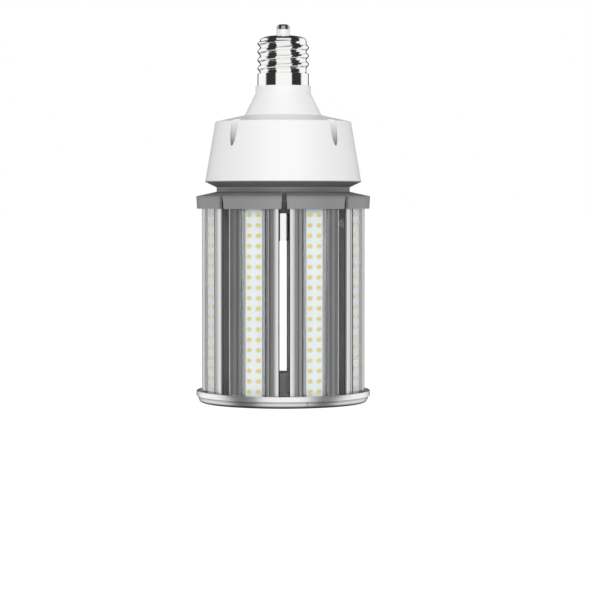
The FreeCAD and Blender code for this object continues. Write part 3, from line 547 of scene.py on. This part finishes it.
# %% White boards
LED_ROWS = 18
LED_FIRST = 0.012
LED_STEP = 0.130 / (LED_ROWS - 1)
LED_COLUMN = 0.0036
PAD_CENTRE, PAD_HALF_ACROSS, PAD_HALF_UP = 0.00205, 0.00018, 0.00085
LINK_HALF, LINK_START = 0.0006, 0.0019
RAIL_CENTRE, RAIL_HALF = 0.0060, 0.0003
CORE_TOP = 0.05783


def package_parts(wire):
    """Distances out, across the strip, and across and up from the middle of the nearest package."""
    out, across, z = strip_parts(wire)
    rise = ((z - LED_FIRST) / LED_STEP).from_nearest() * LED_STEP
    return out, across, across.absolute() - LED_COLUMN, rise


def board_finish():
    """White mask with raised tracks, tinned pads and a bare metal core."""
    material, shader, wire = start_finish("board_white", IOR=1.5)
    out, across, beside, rise = package_parts(wire)
    pad = (beside.absolute() - PAD_CENTRE).absolute() < PAD_HALF_ACROSS
    pad = pad * (rise.absolute() < PAD_HALF_UP)
    link = (beside.absolute() < LINK_HALF) * (rise.absolute() > LINK_START)
    rail = (across.absolute() - RAIL_CENTRE).absolute() < RAIL_HALF
    track = link.larger(rail)
    core = out < CORE_TOP
    grain = noise(wire, object_place(wire, (900, 900, 900)), 2.0)
    mask = (grain * 0.6 + track * 0.4).blend((0.84, 0.865, 0.885, 1), (0.79, 0.815, 0.835, 1))
    tinned = pad.blend(mask, (0.62, 0.63, 0.64, 1))
    feed(shader, Base_Color=core.blend(tinned, (0.60, 0.61, 0.62, 1)), Metallic=pad.larger(core) * 0.9,
         Roughness=0.34 - pad * 0.1 + grain * 0.1, Normal=bump(wire, track + pad * 1.5, 0.3, 0.00005))
    return material


dress(board_finish(), *numbered("led_board"))

# %% [markdown]
# Each LED package is a moulded frame round a shallow cup of yellow phosphor. It is a stack of six
# eight-cornered rings, from the foot over the rim and down into the cup, and a point in the middle:
# forty-eight faces, which is plenty at a size of three millimetres and light enough for hundreds.

# %% Shape of the LED packages
PACKAGE_CORNERS = 8
# Rows of half width, half height, corner cut and distance from the lamp axis, in millimetres.
PACKAGE_ROWS = np.array([
    (1.85, 1.80, 0.10, 57.90), (1.85, 1.80, 0.12, 58.37), (1.83, 1.78, 0.16, 58.40),
    (1.81, 1.76, 0.50, 58.40), (1.79, 1.74, 0.54, 58.34), (1.00, 0.97, 0.42, 58.28),
    (0.00, 0.00, 0.00, 58.27)])
FRAME_BANDS, PHOSPHOR_BANDS = 4, 2


def package_rings():
    """Rings (row, corner, [out, across, up]) of one package: rectangles with their corners cut."""
    turn = full_turn(PACKAGE_CORNERS) + math.pi / PACKAGE_CORNERS
    steep = np.abs(np.cos(turn)) < np.abs(np.sin(turn))
    width, height, cut, reach = PACKAGE_ROWS.T[:, :, None]
    across = (width - np.where(steep, cut, 0.0)) * np.sign(np.cos(turn))
    up = (height - np.where(steep, 0.0, cut)) * np.sign(np.sin(turn))
    return np.stack([np.broadcast_to(reach, across.shape), across, up], axis=-1)


def package_grid():
    """The rings of one package repeated at two columns and eighteen heights."""
    rings = package_rings()
    heights = (LED_FIRST + LED_STEP * np.arange(LED_ROWS)) / MM
    columns = [-LED_COLUMN / MM, LED_COLUMN / MM]
    spots = np.stack(np.meshgrid(columns, heights, indexing="ij"), axis=-1).reshape(-1, 2)
    copies = np.broadcast_to(rings, (len(spots),) + rings.shape).copy()
    copies[..., 1:] += spots[:, None, None]
    return copies


def on_strip(points, k):
    """Local (out, across, up) points turned into the place of strip k."""
    angle = FIRST_STRIP + STRIP_STEP * k
    x = points[..., 0] * math.cos(angle) - points[..., 1] * math.sin(angle)
    y = points[..., 0] * math.sin(angle) + points[..., 1] * math.cos(angle)
    return np.stack([x, y, points[..., 2]], axis=-1)


packages = package_grid()
print("packages on each strip:", len(packages))

# %% [markdown]
# The frame is cream plastic. The phosphor is a grainy yellow gel under a clear skin: deepest in the
# middle, where the chip shines through, and paler towards the frame.

# %% Finish of the LED packages
PHOSPHOR_REACH = 0.0019
PHOSPHOR_TONES = [(0.0, (0.72, 0.52, 0.09, 1)), (0.32, (0.77, 0.64, 0.16, 1)),
                  (0.72, (0.80, 0.70, 0.29, 1)), (1.0, (0.82, 0.78, 0.58, 1))]


def frame_finish():
    """Cream plastic with a fine grain."""
    material, shader, wire = start_finish("package_frame", IOR=1.5)
    grain = noise(wire, object_place(wire, (3000, 3000, 3000)), 2.0)
    feed(shader, Base_Color=grain.blend((0.83, 0.82, 0.68, 1), (0.79, 0.77, 0.62, 1)),
         Roughness=0.35 + grain * 0.15)
    return material


def phosphor_finish():
    """Yellow that pales with the distance from the middle of each package."""
    material, shader, wire = start_finish("led_phosphor", IOR=1.43, Coat_Roughness=0.12, Coat_Weight=0.35)
    _, _, beside, rise = package_parts(wire)
    reach = wire.math("SQRT", beside * beside + rise * rise) / PHOSPHOR_REACH
    gel = wire.add("ShaderNodeValToRGB", {"stops": PHOSPHOR_TONES}, {0: reach})
    grain = noise(wire, object_place(wire, (6000, 6000, 6000)), 2.0)
    feed(shader, Base_Color=(grain * 0.3).blend(gel, (0.66, 0.55, 0.18, 1)),
         Roughness=0.42 + grain * 0.2, Normal=bump(wire, grain, 0.15, 0.00003))
    return material


package_frame = frame_finish()
led_phosphor = phosphor_finish()
band_kinds = np.repeat([0] * FRAME_BANDS + [1] * PHOSPHOR_BANDS, PACKAGE_CORNERS)
for k in range(STRIPS):
    piece = add_piece("led_packages_" + str(k + 1), on_strip(packages, k) * MM, face_kinds=band_kinds)
    finish_piece(piece, "led_chips_" + str(k + 1), [package_frame, led_phosphor])

# %% [markdown]
# The covers are clear extruded plastic. They are real shells in the frame, so true refraction through
# both walls gives the fine light and dark lines along their edges. Shadow rays pass straight through,
# which keeps the boards behind them evenly lit.


# %% Clear covers
def cover_finish():
    """Clear plastic with faint drag lines, and a plain clear pane for shadow rays."""
    material, shader, wire = start_finish("clear_cover", Base_Color=(0.97, 0.985, 0.99, 1), IOR=1.49,
                                          Transmission_Weight=1.0)
    drag = noise(wire, object_place(wire, (1500, 1500, 5)), 2.0)
    feed(shader, Roughness=0.02 + drag * 0.03)
    shadow = wire.add("ShaderNodeLightPath", out="Is Shadow Ray")
    pane = wire.add("ShaderNodeBsdfTransparent", None, {"Color": (0.94, 0.95, 0.96, 1)})
    show_other(material, shader, shadow, pane)
    return material


dress(cover_finish(), *numbered("lens_cover"))

# %% [markdown]
# The base ring is one spun pressing: a flat sole to stand on, a rolled bead, a step, and an upright band
# with a rounded rim. Spinning leaves fine circles, so its pattern changes with radius and height but hardly
# at all round the axis. The band is left bright, and the bead, the step and the foot are painted darker by
# height, as painted shade and painted dark reflection.
# The ends of the rolled bead meet in a small seam at the front right.

# %% Spun base ring
RING_PROFILE = [
    (0.0, 4.0, 0.0), (55.4, 4.0, 0.3), (55.4, 0.0, 0.3), (61.6, 0.0, 0.6), (63.2, 0.8, 0.8),
    (64.3, 2.7, 0.8), (64.3, 4.5, 0.35), (65.8, 5.0, 0.35), (65.8, 9.0, 0.6), (64.0, 9.0, 0.6),
    (64.0, 6.2, 0.8), (0.0, 6.2, 0.0)]
SEAM_ANGLE = math.radians(-90.0 + 15.7)
SEAM_REACH, SEAM_WIDTH, SEAM_DEPTH = 0.03, 0.007, 0.011
BEAD_TOP, BEAD_FADE, BEAD_INNER = 4.9, 0.6, 60.0
# Painted shade and reflection at each height, where one is eight millimetres up: dark at the foot, lighter
# mid-bead, darker under the step, bright on the band.
RING_SHADE_TONES = [(0.0, 0.18), (0.19, 0.18), (0.25, 0.76), (0.40, 0.76), (0.46, 0.52), (0.575, 0.52),
              (0.62, 0.98)]
SHADE_TONES_PER_METRE = 125.0


def ring_points():
    """The rounded profile carried round, with the bead pushed in by a narrow bell across its seam."""
    profile = rounded(RING_PROFILE, steps=6)
    near = SEAM_ANGLE + np.linspace(-1.0, 1.0, 17) * SEAM_REACH
    angles = np.sort(np.concatenate([full_turn(180), near % (2 * math.pi)]))
    points = turned(profile, angles)
    off = (angles - SEAM_ANGLE + math.pi) % (2 * math.pi) - math.pi
    bell = np.exp(-(off / SEAM_WIDTH) ** 2)
    bead = np.clip((BEAD_TOP - profile[:, 1]) / BEAD_FADE, 0.0, 1.0) * (profile[:, 0] > BEAD_INNER)
    push = 1.0 - SEAM_DEPTH * bead[:, None] * bell[None, :]
    points[..., :2] *= push[None, ..., None]
    return points


def spun_finish():
    """Bright metal with fine circles, and painted shade and reflection by height."""
    material, shader, wire = start_finish("polished_ring", Metallic=0.93)
    circles = noise(wire, around_place(wire, 5200.0, 1.5, 5200.0), 3.0)
    haze = noise(wire, object_place(wire, (40, 40, 40)), 2.0)
    _, _, z = axis_parts(wire)
    # Painted shade and painted reflection: the bead, the step and the foot are darkened by height.
    stops = [(place, grey(shade_tone)) for place, shade_tone in RING_SHADE_TONES]
    shade_tone = wire.add("ShaderNodeValToRGB", {"stops": stops}, {0: z * SHADE_TONES_PER_METRE})
    feed(shader, Base_Color=(circles * 0.25 + haze * 0.15).blend(shade_tone, grey(0.75)),
         Roughness=0.27 + circles * 0.10 + haze * 0.05, Normal=bump(wire, circles, 0.06, 0.00004))
    return material


ring = add_piece("spun_ring", ring_points(), loop_rows=True)
finish_piece(ring, "bottom_ring", [spun_finish()])

# %% [markdown]
# In the middle of the tray stands a dull turned boss on a flange, with a painted highlight round its top.
# Above it, under the cap, hangs a polished six-sided spacer with a round pin at its upper end.

# %% Hub and post
HUB_PROFILE = [(0.0, 6.2, 0.0), (27.5, 6.2, 0.3), (27.5, 8.0, 0.4), (14.0, 8.0, 0.5),
               (14.0, 21.6, 0.3), (13.0, 22.6, 0.3), (0.0, 22.6, 0.0)]
# Heights of the painted highlight band near the top of the boss, in metres.
HUB_HIGHLIGHT_BAND = (0.0205, 0.0213)
POST_FLAT, POST_FOOT, POST_SHOULDER = 4.114, 122.0, 142.8
PIN_RADIUS, PIN_TOP, PIN_BEVEL = 3.014, 149.8, 0.3


def hub_finish():
    """A cast tone with turning circles, and a painted highlight in a band near the top."""
    material, shader, wire = start_finish("dark_hub", Metallic=0.25)
    circles = noise(wire, around_place(wire, 3000.0, 2.0, 3000.0), 3.0)
    grain = noise(wire, object_place(wire, (700, 700, 700)), 3.0)
    _, _, z = axis_parts(wire)
    cast = (circles * 0.5 + grain * 0.5).blend(grey(0.74), grey(0.86))
    # Painted highlight: a band near the top of the boss is lifted to near white.
    feed(shader, Base_Color=fade(wire, z, *HUB_HIGHLIGHT_BAND).blend(cast, grey(0.97)),
         Roughness=0.36 + grain * 0.16, Normal=bump(wire, circles, 0.08, 0.00005))
    return material


def post_finish():
    """Polished metal with faint turning circles."""
    material, shader, wire = start_finish("polished_post", Metallic=1.0)
    circles = noise(wire, around_place(wire, 1500.0, 1.0, 5200.0), 3.0)
    feed(shader, Base_Color=circles.blend(grey(0.95), grey(0.90)), Roughness=0.04 + circles * 0.04,
         Normal=bump(wire, circles, 0.04, 0.00003))
    return material


def post_points():
    """Six flats, radius = flat / cos(angle to the nearest flat), then a round pin on top."""
    angles = full_turn(48)
    six = POST_FLAT / np.cos(angles % (math.pi / 3) - math.pi / 6)
    pin = np.full_like(six, PIN_RADIUS)
    pole = np.zeros_like(six)
    radius = np.stack([pole, six, six, pin, pin, pin - PIN_BEVEL, pole])
    height = np.array([POST_FOOT, POST_FOOT, POST_SHOULDER, POST_SHOULDER,
                       PIN_TOP - PIN_BEVEL, PIN_TOP, PIN_TOP])
    return around_axis(radius, height[:, None], angles)


hub = add_piece("turned_hub", turned(rounded(HUB_PROFILE), full_turn(96)), loop_rows=True)
finish_piece(hub, "bottom_hub", [hub_finish()])
post = add_piece("six_sided_post", post_points())
finish_piece(post, "center_post", [post_finish()])

# %% [markdown]
# The screws are bright zinc pan heads with a cross recess. A head is a polar grid: the profile gives
# the height at each radius, and a smooth cross-shaped well is taken off the top rows.

# %% Shape and finish of the screws
SCREW_COLUMNS = 64
# Radii of the crown and of the brim, and the brim's heights, as shares of the head's own.
CROWN = np.array([0.0, 0.08, 0.16, 0.22, 0.28, 0.34, 0.40, 0.46, 0.52, 0.58, 0.64, 0.70, 0.76, 0.84])
BRIM = np.array([0.92, 0.97, 0.995, 1.0, 1.0])
BRIM_HEIGHT = np.array([0.76, 0.64, 0.45, 0.20, 0.0])
ARM_LENGTH, ARM_WIDTH, WELL_DEPTH = 0.52, 0.13, 0.55
WELL_MOUTH, WELL_SLOPE = 1.12, 0.24


def screw_grid(head, rise, shank, length, dome=0.16):
    """Pan head with a cross well, underside, shank and point, about its own +Z with the seat at zero."""
    radius = np.concatenate([CROWN * head, head * BRIM, [shank, shank, shank * 0.5, 0.0]])[:, None]
    crown = rise * (1.0 - dome * (CROWN / CROWN[-1]) ** 2)
    brim = rise * (1.0 - dome) / CROWN[-1] * BRIM_HEIGHT
    height = np.concatenate([crown, brim, [0.0, -length * 0.9, -length, -length]])[:, None]
    angles = full_turn(SCREW_COLUMNS)
    x = radius * np.cos(angles)[None]
    y = radius * np.sin(angles)[None]
    arm = ARM_LENGTH * head
    width = ARM_WIDTH * head
    one = np.maximum(np.abs(x) / arm, np.abs(y) / width)
    two = np.maximum(np.abs(y) / arm, np.abs(x) / width)
    well = np.clip((WELL_MOUTH - np.minimum(one, two)) / WELL_SLOPE, 0.0, 1.0)
    well *= (np.arange(len(radius)) < len(CROWN))[:, None]
    depth = WELL_DEPTH * rise * well * (1.0 - 0.5 * radius / arm)
    return np.stack([x, y, height - depth], axis=-1)


def screw_finish():
    """Bright zinc with a faint cloud."""
    material, shader, wire = start_finish("plated_screw", Metallic=0.2)
    cloud = noise(wire, object_place(wire, (900, 900, 900)), 4.0)
    feed(shader, Base_Color=cloud.blend((0.96, 0.955, 0.94, 1), (0.90, 0.90, 0.89, 1)),
         Roughness=0.14 + cloud * 0.14, Normal=bump(wire, cloud, 0.05, 0.00004))
    return material


plated_screw = screw_finish()
print("screw grid", screw_grid(2.8, 2.0, 1.5, 14.0).shape)

# %% [markdown]
# The same grid is set on every seat of its circle, heads up or heads down. One larger screw, which
# bonds the metalwork, is laid over: its axis runs across the second strip, out of the face of a rib.

# %% Screws in their seats
SCREW_SMOOTH = 50.0
strip_turns = FIRST_STRIP + STRIP_STEP * np.arange(STRIPS)
quarter_turns = full_turn(4)
eighth_off = quarter_turns + math.pi / 4
# Piece, node, length, radius of the circle, height of the seat, directions, heads up.
SCREW_SETS = [
    ("strip_screws_top", "fin_screws_top", 14.0, 43.5, 156.0, strip_turns, True),
    ("strip_screws_foot", "fin_screws_bottom", 14.0, 43.5, 4.0, strip_turns, False),
    ("well_screws", "housing_screws", 7.6, 50.7, 172.0, eighth_off, True),
    ("flange_screws", "hub_screws", 3.6, 22.0, 8.0, quarter_turns, True),
    ("driver_screws", "board_screws", 4.6, 38.0, 162.6, quarter_turns, True)]


def screw_circle(length, radius, seat, angles, upward):
    """Copies of a screw on a circle about the lamp axis, heads up or heads down."""
    local = screw_grid(2.8, 2.0, 1.5, length)
    if not upward:
        local[..., 1:] *= -1.0
    copies = np.broadcast_to(local, (len(angles),) + local.shape).copy()
    copies[..., 0] += (radius * np.cos(angles))[:, None, None]
    copies[..., 1] += (radius * np.sin(angles))[:, None, None]
    copies[..., 2] += seat
    return copies * MM


def bonding_points():
    """The larger screw laid over: its own axis points across the strip, and its head lies on the rib."""
    grid = screw_grid(3.6, 2.4, 2.0, 4.2, dome=0.62)
    local = np.stack([50.8 + grid[..., 0], -7.8 - grid[..., 2], 136.0 + grid[..., 1]], axis=-1)
    return on_strip(local, 1)[None] * MM


for name, node, *seats in SCREW_SETS:
    piece = add_piece(name, screw_circle(*seats), smooth_angle=SCREW_SMOOTH)
    finish_piece(piece, node, [plated_screw])
bonding = add_piece("bonding_screw_head", bonding_points(), smooth_angle=SCREW_SMOOTH)
finish_piece(bonding, "bonding_screw", [plated_screw])

# %% [markdown]
# The cap is a zinc casting under grey paint, and its inside is painted a light grey as painted light, where
# the interior would be dim. Sprayed paint dries with a fine orange peel and a soft sheen, so a broad,
# shallow noise drives the bump and a slower one shifts the gloss. The outer band is painted lighter, as
# painted light, and the narrow neck darker, as painted shade.

# %% Painted cap
# Painted light inside and on the outer band, painted shade on the neck.
LIFTED_INSIDE_RADIUS, LIFTED_INSIDE_TOP = 0.0560, 0.1525
LIT_BAND_RADIUS, LIT_BAND_TOP = 0.0600, (0.1535, 0.1545)
SHADED_NECK_RADIUS, SHADED_NECK_FOOT, SHADED_NECK_TOP = 0.0565, 0.1560, 0.1617


def paint_finish():
    """Grey paint with painted light on the outer band and painted shade on the neck, and a light grey
    inside as painted light.
    """
    material, shader, wire = start_finish("grey_paint", IOR=1.5)
    peel = noise(wire, object_place(wire, (1100, 1100, 1100)), 2.0)
    cloud = noise(wire, object_place(wire, (70, 70, 70)), 3.0)
    radius, _, z = axis_parts(wire)
    # Painted light: the inside is lifted to light grey and the outer band made lighter; painted shade: the
    # neck is made darker.
    lifted_inside = (radius < LIFTED_INSIDE_RADIUS) * (z < LIFTED_INSIDE_TOP)
    lit_band = (radius > LIT_BAND_RADIUS) * (1.0 - fade(wire, z, *LIT_BAND_TOP))
    shaded_neck = (radius < SHADED_NECK_RADIUS) * (z > SHADED_NECK_FOOT) * (z < SHADED_NECK_TOP)
    mottle = peel * 0.4 + cloud * 0.6
    paint = mottle.blend(grey(0.225), grey(0.250))
    paint = lit_band.blend(paint, mottle.blend(grey(0.265), grey(0.292)))
    paint = shaded_neck.blend(paint, mottle.blend(grey(0.170), grey(0.190)))
    feed(shader, Base_Color=lifted_inside.blend(paint, grey(0.62)), Roughness=0.40 + cloud * 0.10,
         Normal=bump(wire, peel, 0.12, 0.00006))
    return material


dress(paint_finish(), "upper_end_cap")

# %% [markdown]
# The driver housing is moulded in white plastic. Spark erosion leaves the mould with a fine even
# matte, and the walls have a faint variation in gloss where the plastic cooled at different rates.
# The four screw wells get painted shade, darker towards the bottom: it is drawn from the distance to each
# well's axis and from height.

# %% Moulded housing
WELL_TURN = math.pi / 2
WELL_CIRCLE, WELL_RADIUS = 0.0507, 0.0039
# Painted shade in the wells: the heights over which it fades out, and its strength.
WELL_SHADE_TOP, WELL_SHADE = (0.188, 0.216), 0.85


def plastic_finish():
    """White plastic with a fine matte, and painted shade in the wells."""
    material, shader, wire = start_finish("white_plastic", IOR=1.48)
    matte = noise(wire, object_place(wire, (3200, 3200, 3200)), 2.0)
    flow = noise(wire, object_place(wire, (45, 45, 20)), 3.0)
    out, beside, z = sector_parts(wire, WELL_TURN / 2, WELL_TURN)
    along = out - WELL_CIRCLE
    well = wire.math("SQRT", along * along + beside * beside) < WELL_RADIUS
    # Painted shade: each well darkens towards its bottom.
    well_shade = well * (1.0 - fade(wire, z, *WELL_SHADE_TOP)) * WELL_SHADE
    plain = (matte * 0.5 + flow * 0.5).blend(grey(0.93), (0.90, 0.90, 0.895, 1))
    feed(shader, Base_Color=well_shade.blend(plain, grey(0.50)), Roughness=0.36 + flow * 0.10,
         Normal=bump(wire, matte, 0.06, 0.00004))
    return material


dress(plastic_finish(), "driver_housing")

# %% [markdown]
# The mogul shell is thin plated brass with a rolled knuckle thread. Its outside is one function of
# direction and height: the root radius plus a rounded wave whose phase climbs one pitch per turn. The
# wave fades out into the plain skirt below and into the dome above, and the inner wall closes the shell.

# %% Threaded shell
ROOT, CREST, PITCH = 17.6, 19.6, 6.35
THREAD_START, THREAD_FADE, THREAD_TOP = 249.2, 271.2, 273.4
FIRST_RISE = 0.9
SKIRT_RADIUS, SKIRT_FOOT, SKIRT_TOP = 19.45, 239.1, (248.2, 249.4)
FOOT_FLARE, FOOT_HEIGHT = 0.12, 0.5
DOME_MOUTH, DOME_RISE = 6.4, 3.7
INNER_WALL = [(DOME_MOUTH, 276.6), (12.6, 276.0), (15.7, 274.8), (17.2, THREAD_TOP), (17.2, SKIRT_FOOT)]


def smooth_step(value, low, high):
    """Zero below low, one above high, and 3t^2 - 2t^3 between them."""
    t = np.clip((value - low) / (high - low), 0.0, 1.0)
    return t * t * (3.0 - 2.0 * t)


def shell_points():
    """Radius = root + depth * rounded wave of (climb / pitch), joined to the skirt and the dome."""
    angles = full_turn(144)
    foot_rows = [SKIRT_FOOT, SKIRT_FOOT + 0.25, SKIRT_FOOT + 0.6]
    height = np.concatenate([foot_rows, np.linspace(240.4, 246.0, 8), np.linspace(246.2, THREAD_TOP, 158)])
    climb = height[:, None] - PITCH * angles[None] / (2 * math.pi) - THREAD_START
    wave = 0.5 + 0.5 * np.cos(2 * math.pi * climb / PITCH)
    first = np.where(climb < PITCH / 2, smooth_step(angles, 0.0, FIRST_RISE)[None], 1.0)
    begun = first * (climb > -PITCH / 2)
    faded = 1.0 - smooth_step(height[:, None], THREAD_FADE, THREAD_TOP)
    thread = ROOT + (CREST - ROOT) * wave * begun * faded
    skirt = ROOT + (SKIRT_RADIUS - ROOT) * (1.0 - smooth_step(height, *SKIRT_TOP))
    foot = FOOT_FLARE * (1.0 - smooth_step(height, SKIRT_FOOT, SKIRT_FOOT + FOOT_HEIGHT))
    wall = around_axis(np.maximum(thread, (skirt + foot)[:, None]), height[:, None], angles)
    arc = np.linspace(0.0, 1.0, 14)[1:]
    dome_radius = DOME_MOUTH + (ROOT - DOME_MOUTH) * np.sqrt(1 - arc ** 2)
    dome = np.stack([dome_radius, THREAD_TOP + DOME_RISE * arc], axis=-1)
    closing = turned(np.concatenate([dome, INNER_WALL]), angles)
    return np.concatenate([wall, closing], axis=1)


def shell_finish():
    """Bright plating with faint rolling lines."""
    material, shader, wire = start_finish("plated_shell", Metallic=1.0)
    circles = noise(wire, around_place(wire, 900.0, 2.0, 2600.0), 3.0)
    cloud = noise(wire, object_place(wire, (160, 160, 160)), 3.0)
    tarnish = circles * 0.4 + cloud * 0.4
    feed(shader, Base_Color=tarnish.blend((0.97, 0.965, 0.96, 1), (0.88, 0.88, 0.87, 1)),
         Roughness=0.05 + circles * 0.05 + cloud * 0.05, Normal=bump(wire, circles, 0.02, 0.00001))
    return material


shell = add_piece("threaded_shell", shell_points(), loop_rows=True, smooth_angle=60.0)
finish_piece(shell, "screw_shell", [shell_finish()])

# %% [markdown]
# A white insulator plugs the domed end and lifts the contact button clear of the shell. The button is
# tinned, with a soft edge and a flat top.

# %% Insulator and contact
PLUG_PROFILE = [(1.35, 267.7, 0.0), (17.05, 267.7, 0.3), (17.05, 273.3, 0.3), (15.6, 274.7, 0.4),
                (12.5, 275.9, 0.6), (6.25, 276.5, 0.1), (5.9, 277.4, 0.2), (5.1, 278.2, 0.3),
                (5.1, 281.8, 0.2), (1.35, 281.8, 0.0)]
BUTTON_PROFILE = [(0.0, 269.7, 0.0), (1.2, 269.7, 0.2), (1.2, 281.8, 0.0), (4.9, 281.8, 0.3),
                  (4.9, 284.5, 0.6), (3.1, 285.7, 0.7), (0.0, 285.7, 0.0)]


def insulator_finish():
    """White glazed plastic with a faint speck."""
    material, shader, wire = start_finish("white_insulator", IOR=1.52, Coat_Roughness=0.1, Coat_Weight=0.4)
    speck = noise(wire, object_place(wire, (420, 420, 420)), 2.0)
    feed(shader, Base_Color=speck.blend((0.95, 0.95, 0.94, 1), (0.92, 0.92, 0.91, 1)),
         Roughness=0.24 + speck * 0.14, Normal=bump(wire, speck, 0.03, 0.00001))
    return material


def contact_finish():
    """Dull tin, scuffed over its turning circles."""
    material, shader, wire = start_finish("contact_metal", Metallic=1.0)
    scuff = noise(wire, object_place(wire, (800, 800, 800)), 5.0)
    circles = noise(wire, around_place(wire, 2600.0, 2.0, 2600.0), 2.0)
    feed(shader, Base_Color=scuff.blend((0.48, 0.475, 0.465, 1), (0.38, 0.375, 0.37, 1)),
         Roughness=0.16 + scuff * 0.16, Normal=bump(wire, scuff * 0.6 + circles * 0.4, 0.04, 0.00002))
    return material


plug = add_piece("insulator_plug", turned(rounded(PLUG_PROFILE), full_turn(72)), loop_rows=True)
finish_piece(plug, "base_insulator", [insulator_finish()])
button = add_piece("contact_button", turned(rounded(BUTTON_PROFILE), full_turn(72)), loop_rows=True)
finish_piece(button, "center_contact", [contact_finish()])

# %% [markdown]
# Inside the housing sit the driver and the wires. Nobody sees them in the picture, but a part that is
# opened should not be empty: laminate with a weave, a lacquered core, sleeved cans, and coloured leads.

# %% Driver and wires
WEAVE, WRAP, SLEEVE, WINDING, DRAWN = (
    (1500, 1500, 300), (500, 500, 2500), (250, 250, 900), (400, 400, 3000), (900, 900, 300))
# Node, material, two tones, least roughness, stretch of the grain, height of its bump, metal share.
HIDDEN_FINISHES = [
    ("driver_board", "driver_laminate", (0.03, 0.13, 0.05), (0.05, 0.20, 0.08), 0.35, WEAVE, 0.00004, 0.0),
    ("transformer", "transformer_core", (0.30, 0.22, 0.05), (0.42, 0.33, 0.08), 0.4, WRAP, 0.00008, 0.0),
    ("bulk_capacitors", "capacitor_sleeve", (0.012, 0.014, 0.02), (0.03, 0.035, 0.05), 0.25, SLEEVE,
     0.00003, 0.0),
    ("filter_choke", "choke_winding", (0.40, 0.13, 0.04), (0.58, 0.24, 0.09), 0.3, WINDING, 0.00012, 0.6),
    ("line_lead", "lead_black", (0.012, 0.012, 0.012), (0.03, 0.03, 0.03), 0.4, DRAWN, 0.00003, 0.0),
    ("neutral_lead", "lead_white", (0.75, 0.75, 0.73), (0.82, 0.82, 0.80), 0.4, DRAWN, 0.00003, 0.0),
    ("led_leads", "lead_grey", (0.30, 0.30, 0.30), (0.38, 0.38, 0.37), 0.4, DRAWN, 0.00003, 0.0)]


def speckled(name, low, high, rough, scale, height, metal):
    """A finish whose colour and roughness wander between two tones, with a bump of the same grain."""
    material, shader, wire = start_finish(name, Metallic=metal)
    grain = noise(wire, object_place(wire, scale), 4.0)
    feed(shader, Base_Color=grain.blend(low + (1,), high + (1,)), Roughness=rough + grain * 0.15,
         Normal=bump(wire, grain, 0.15, height))
    return material


for node, *finish in HIDDEN_FINISHES:
    dress(speckled(*finish), node)
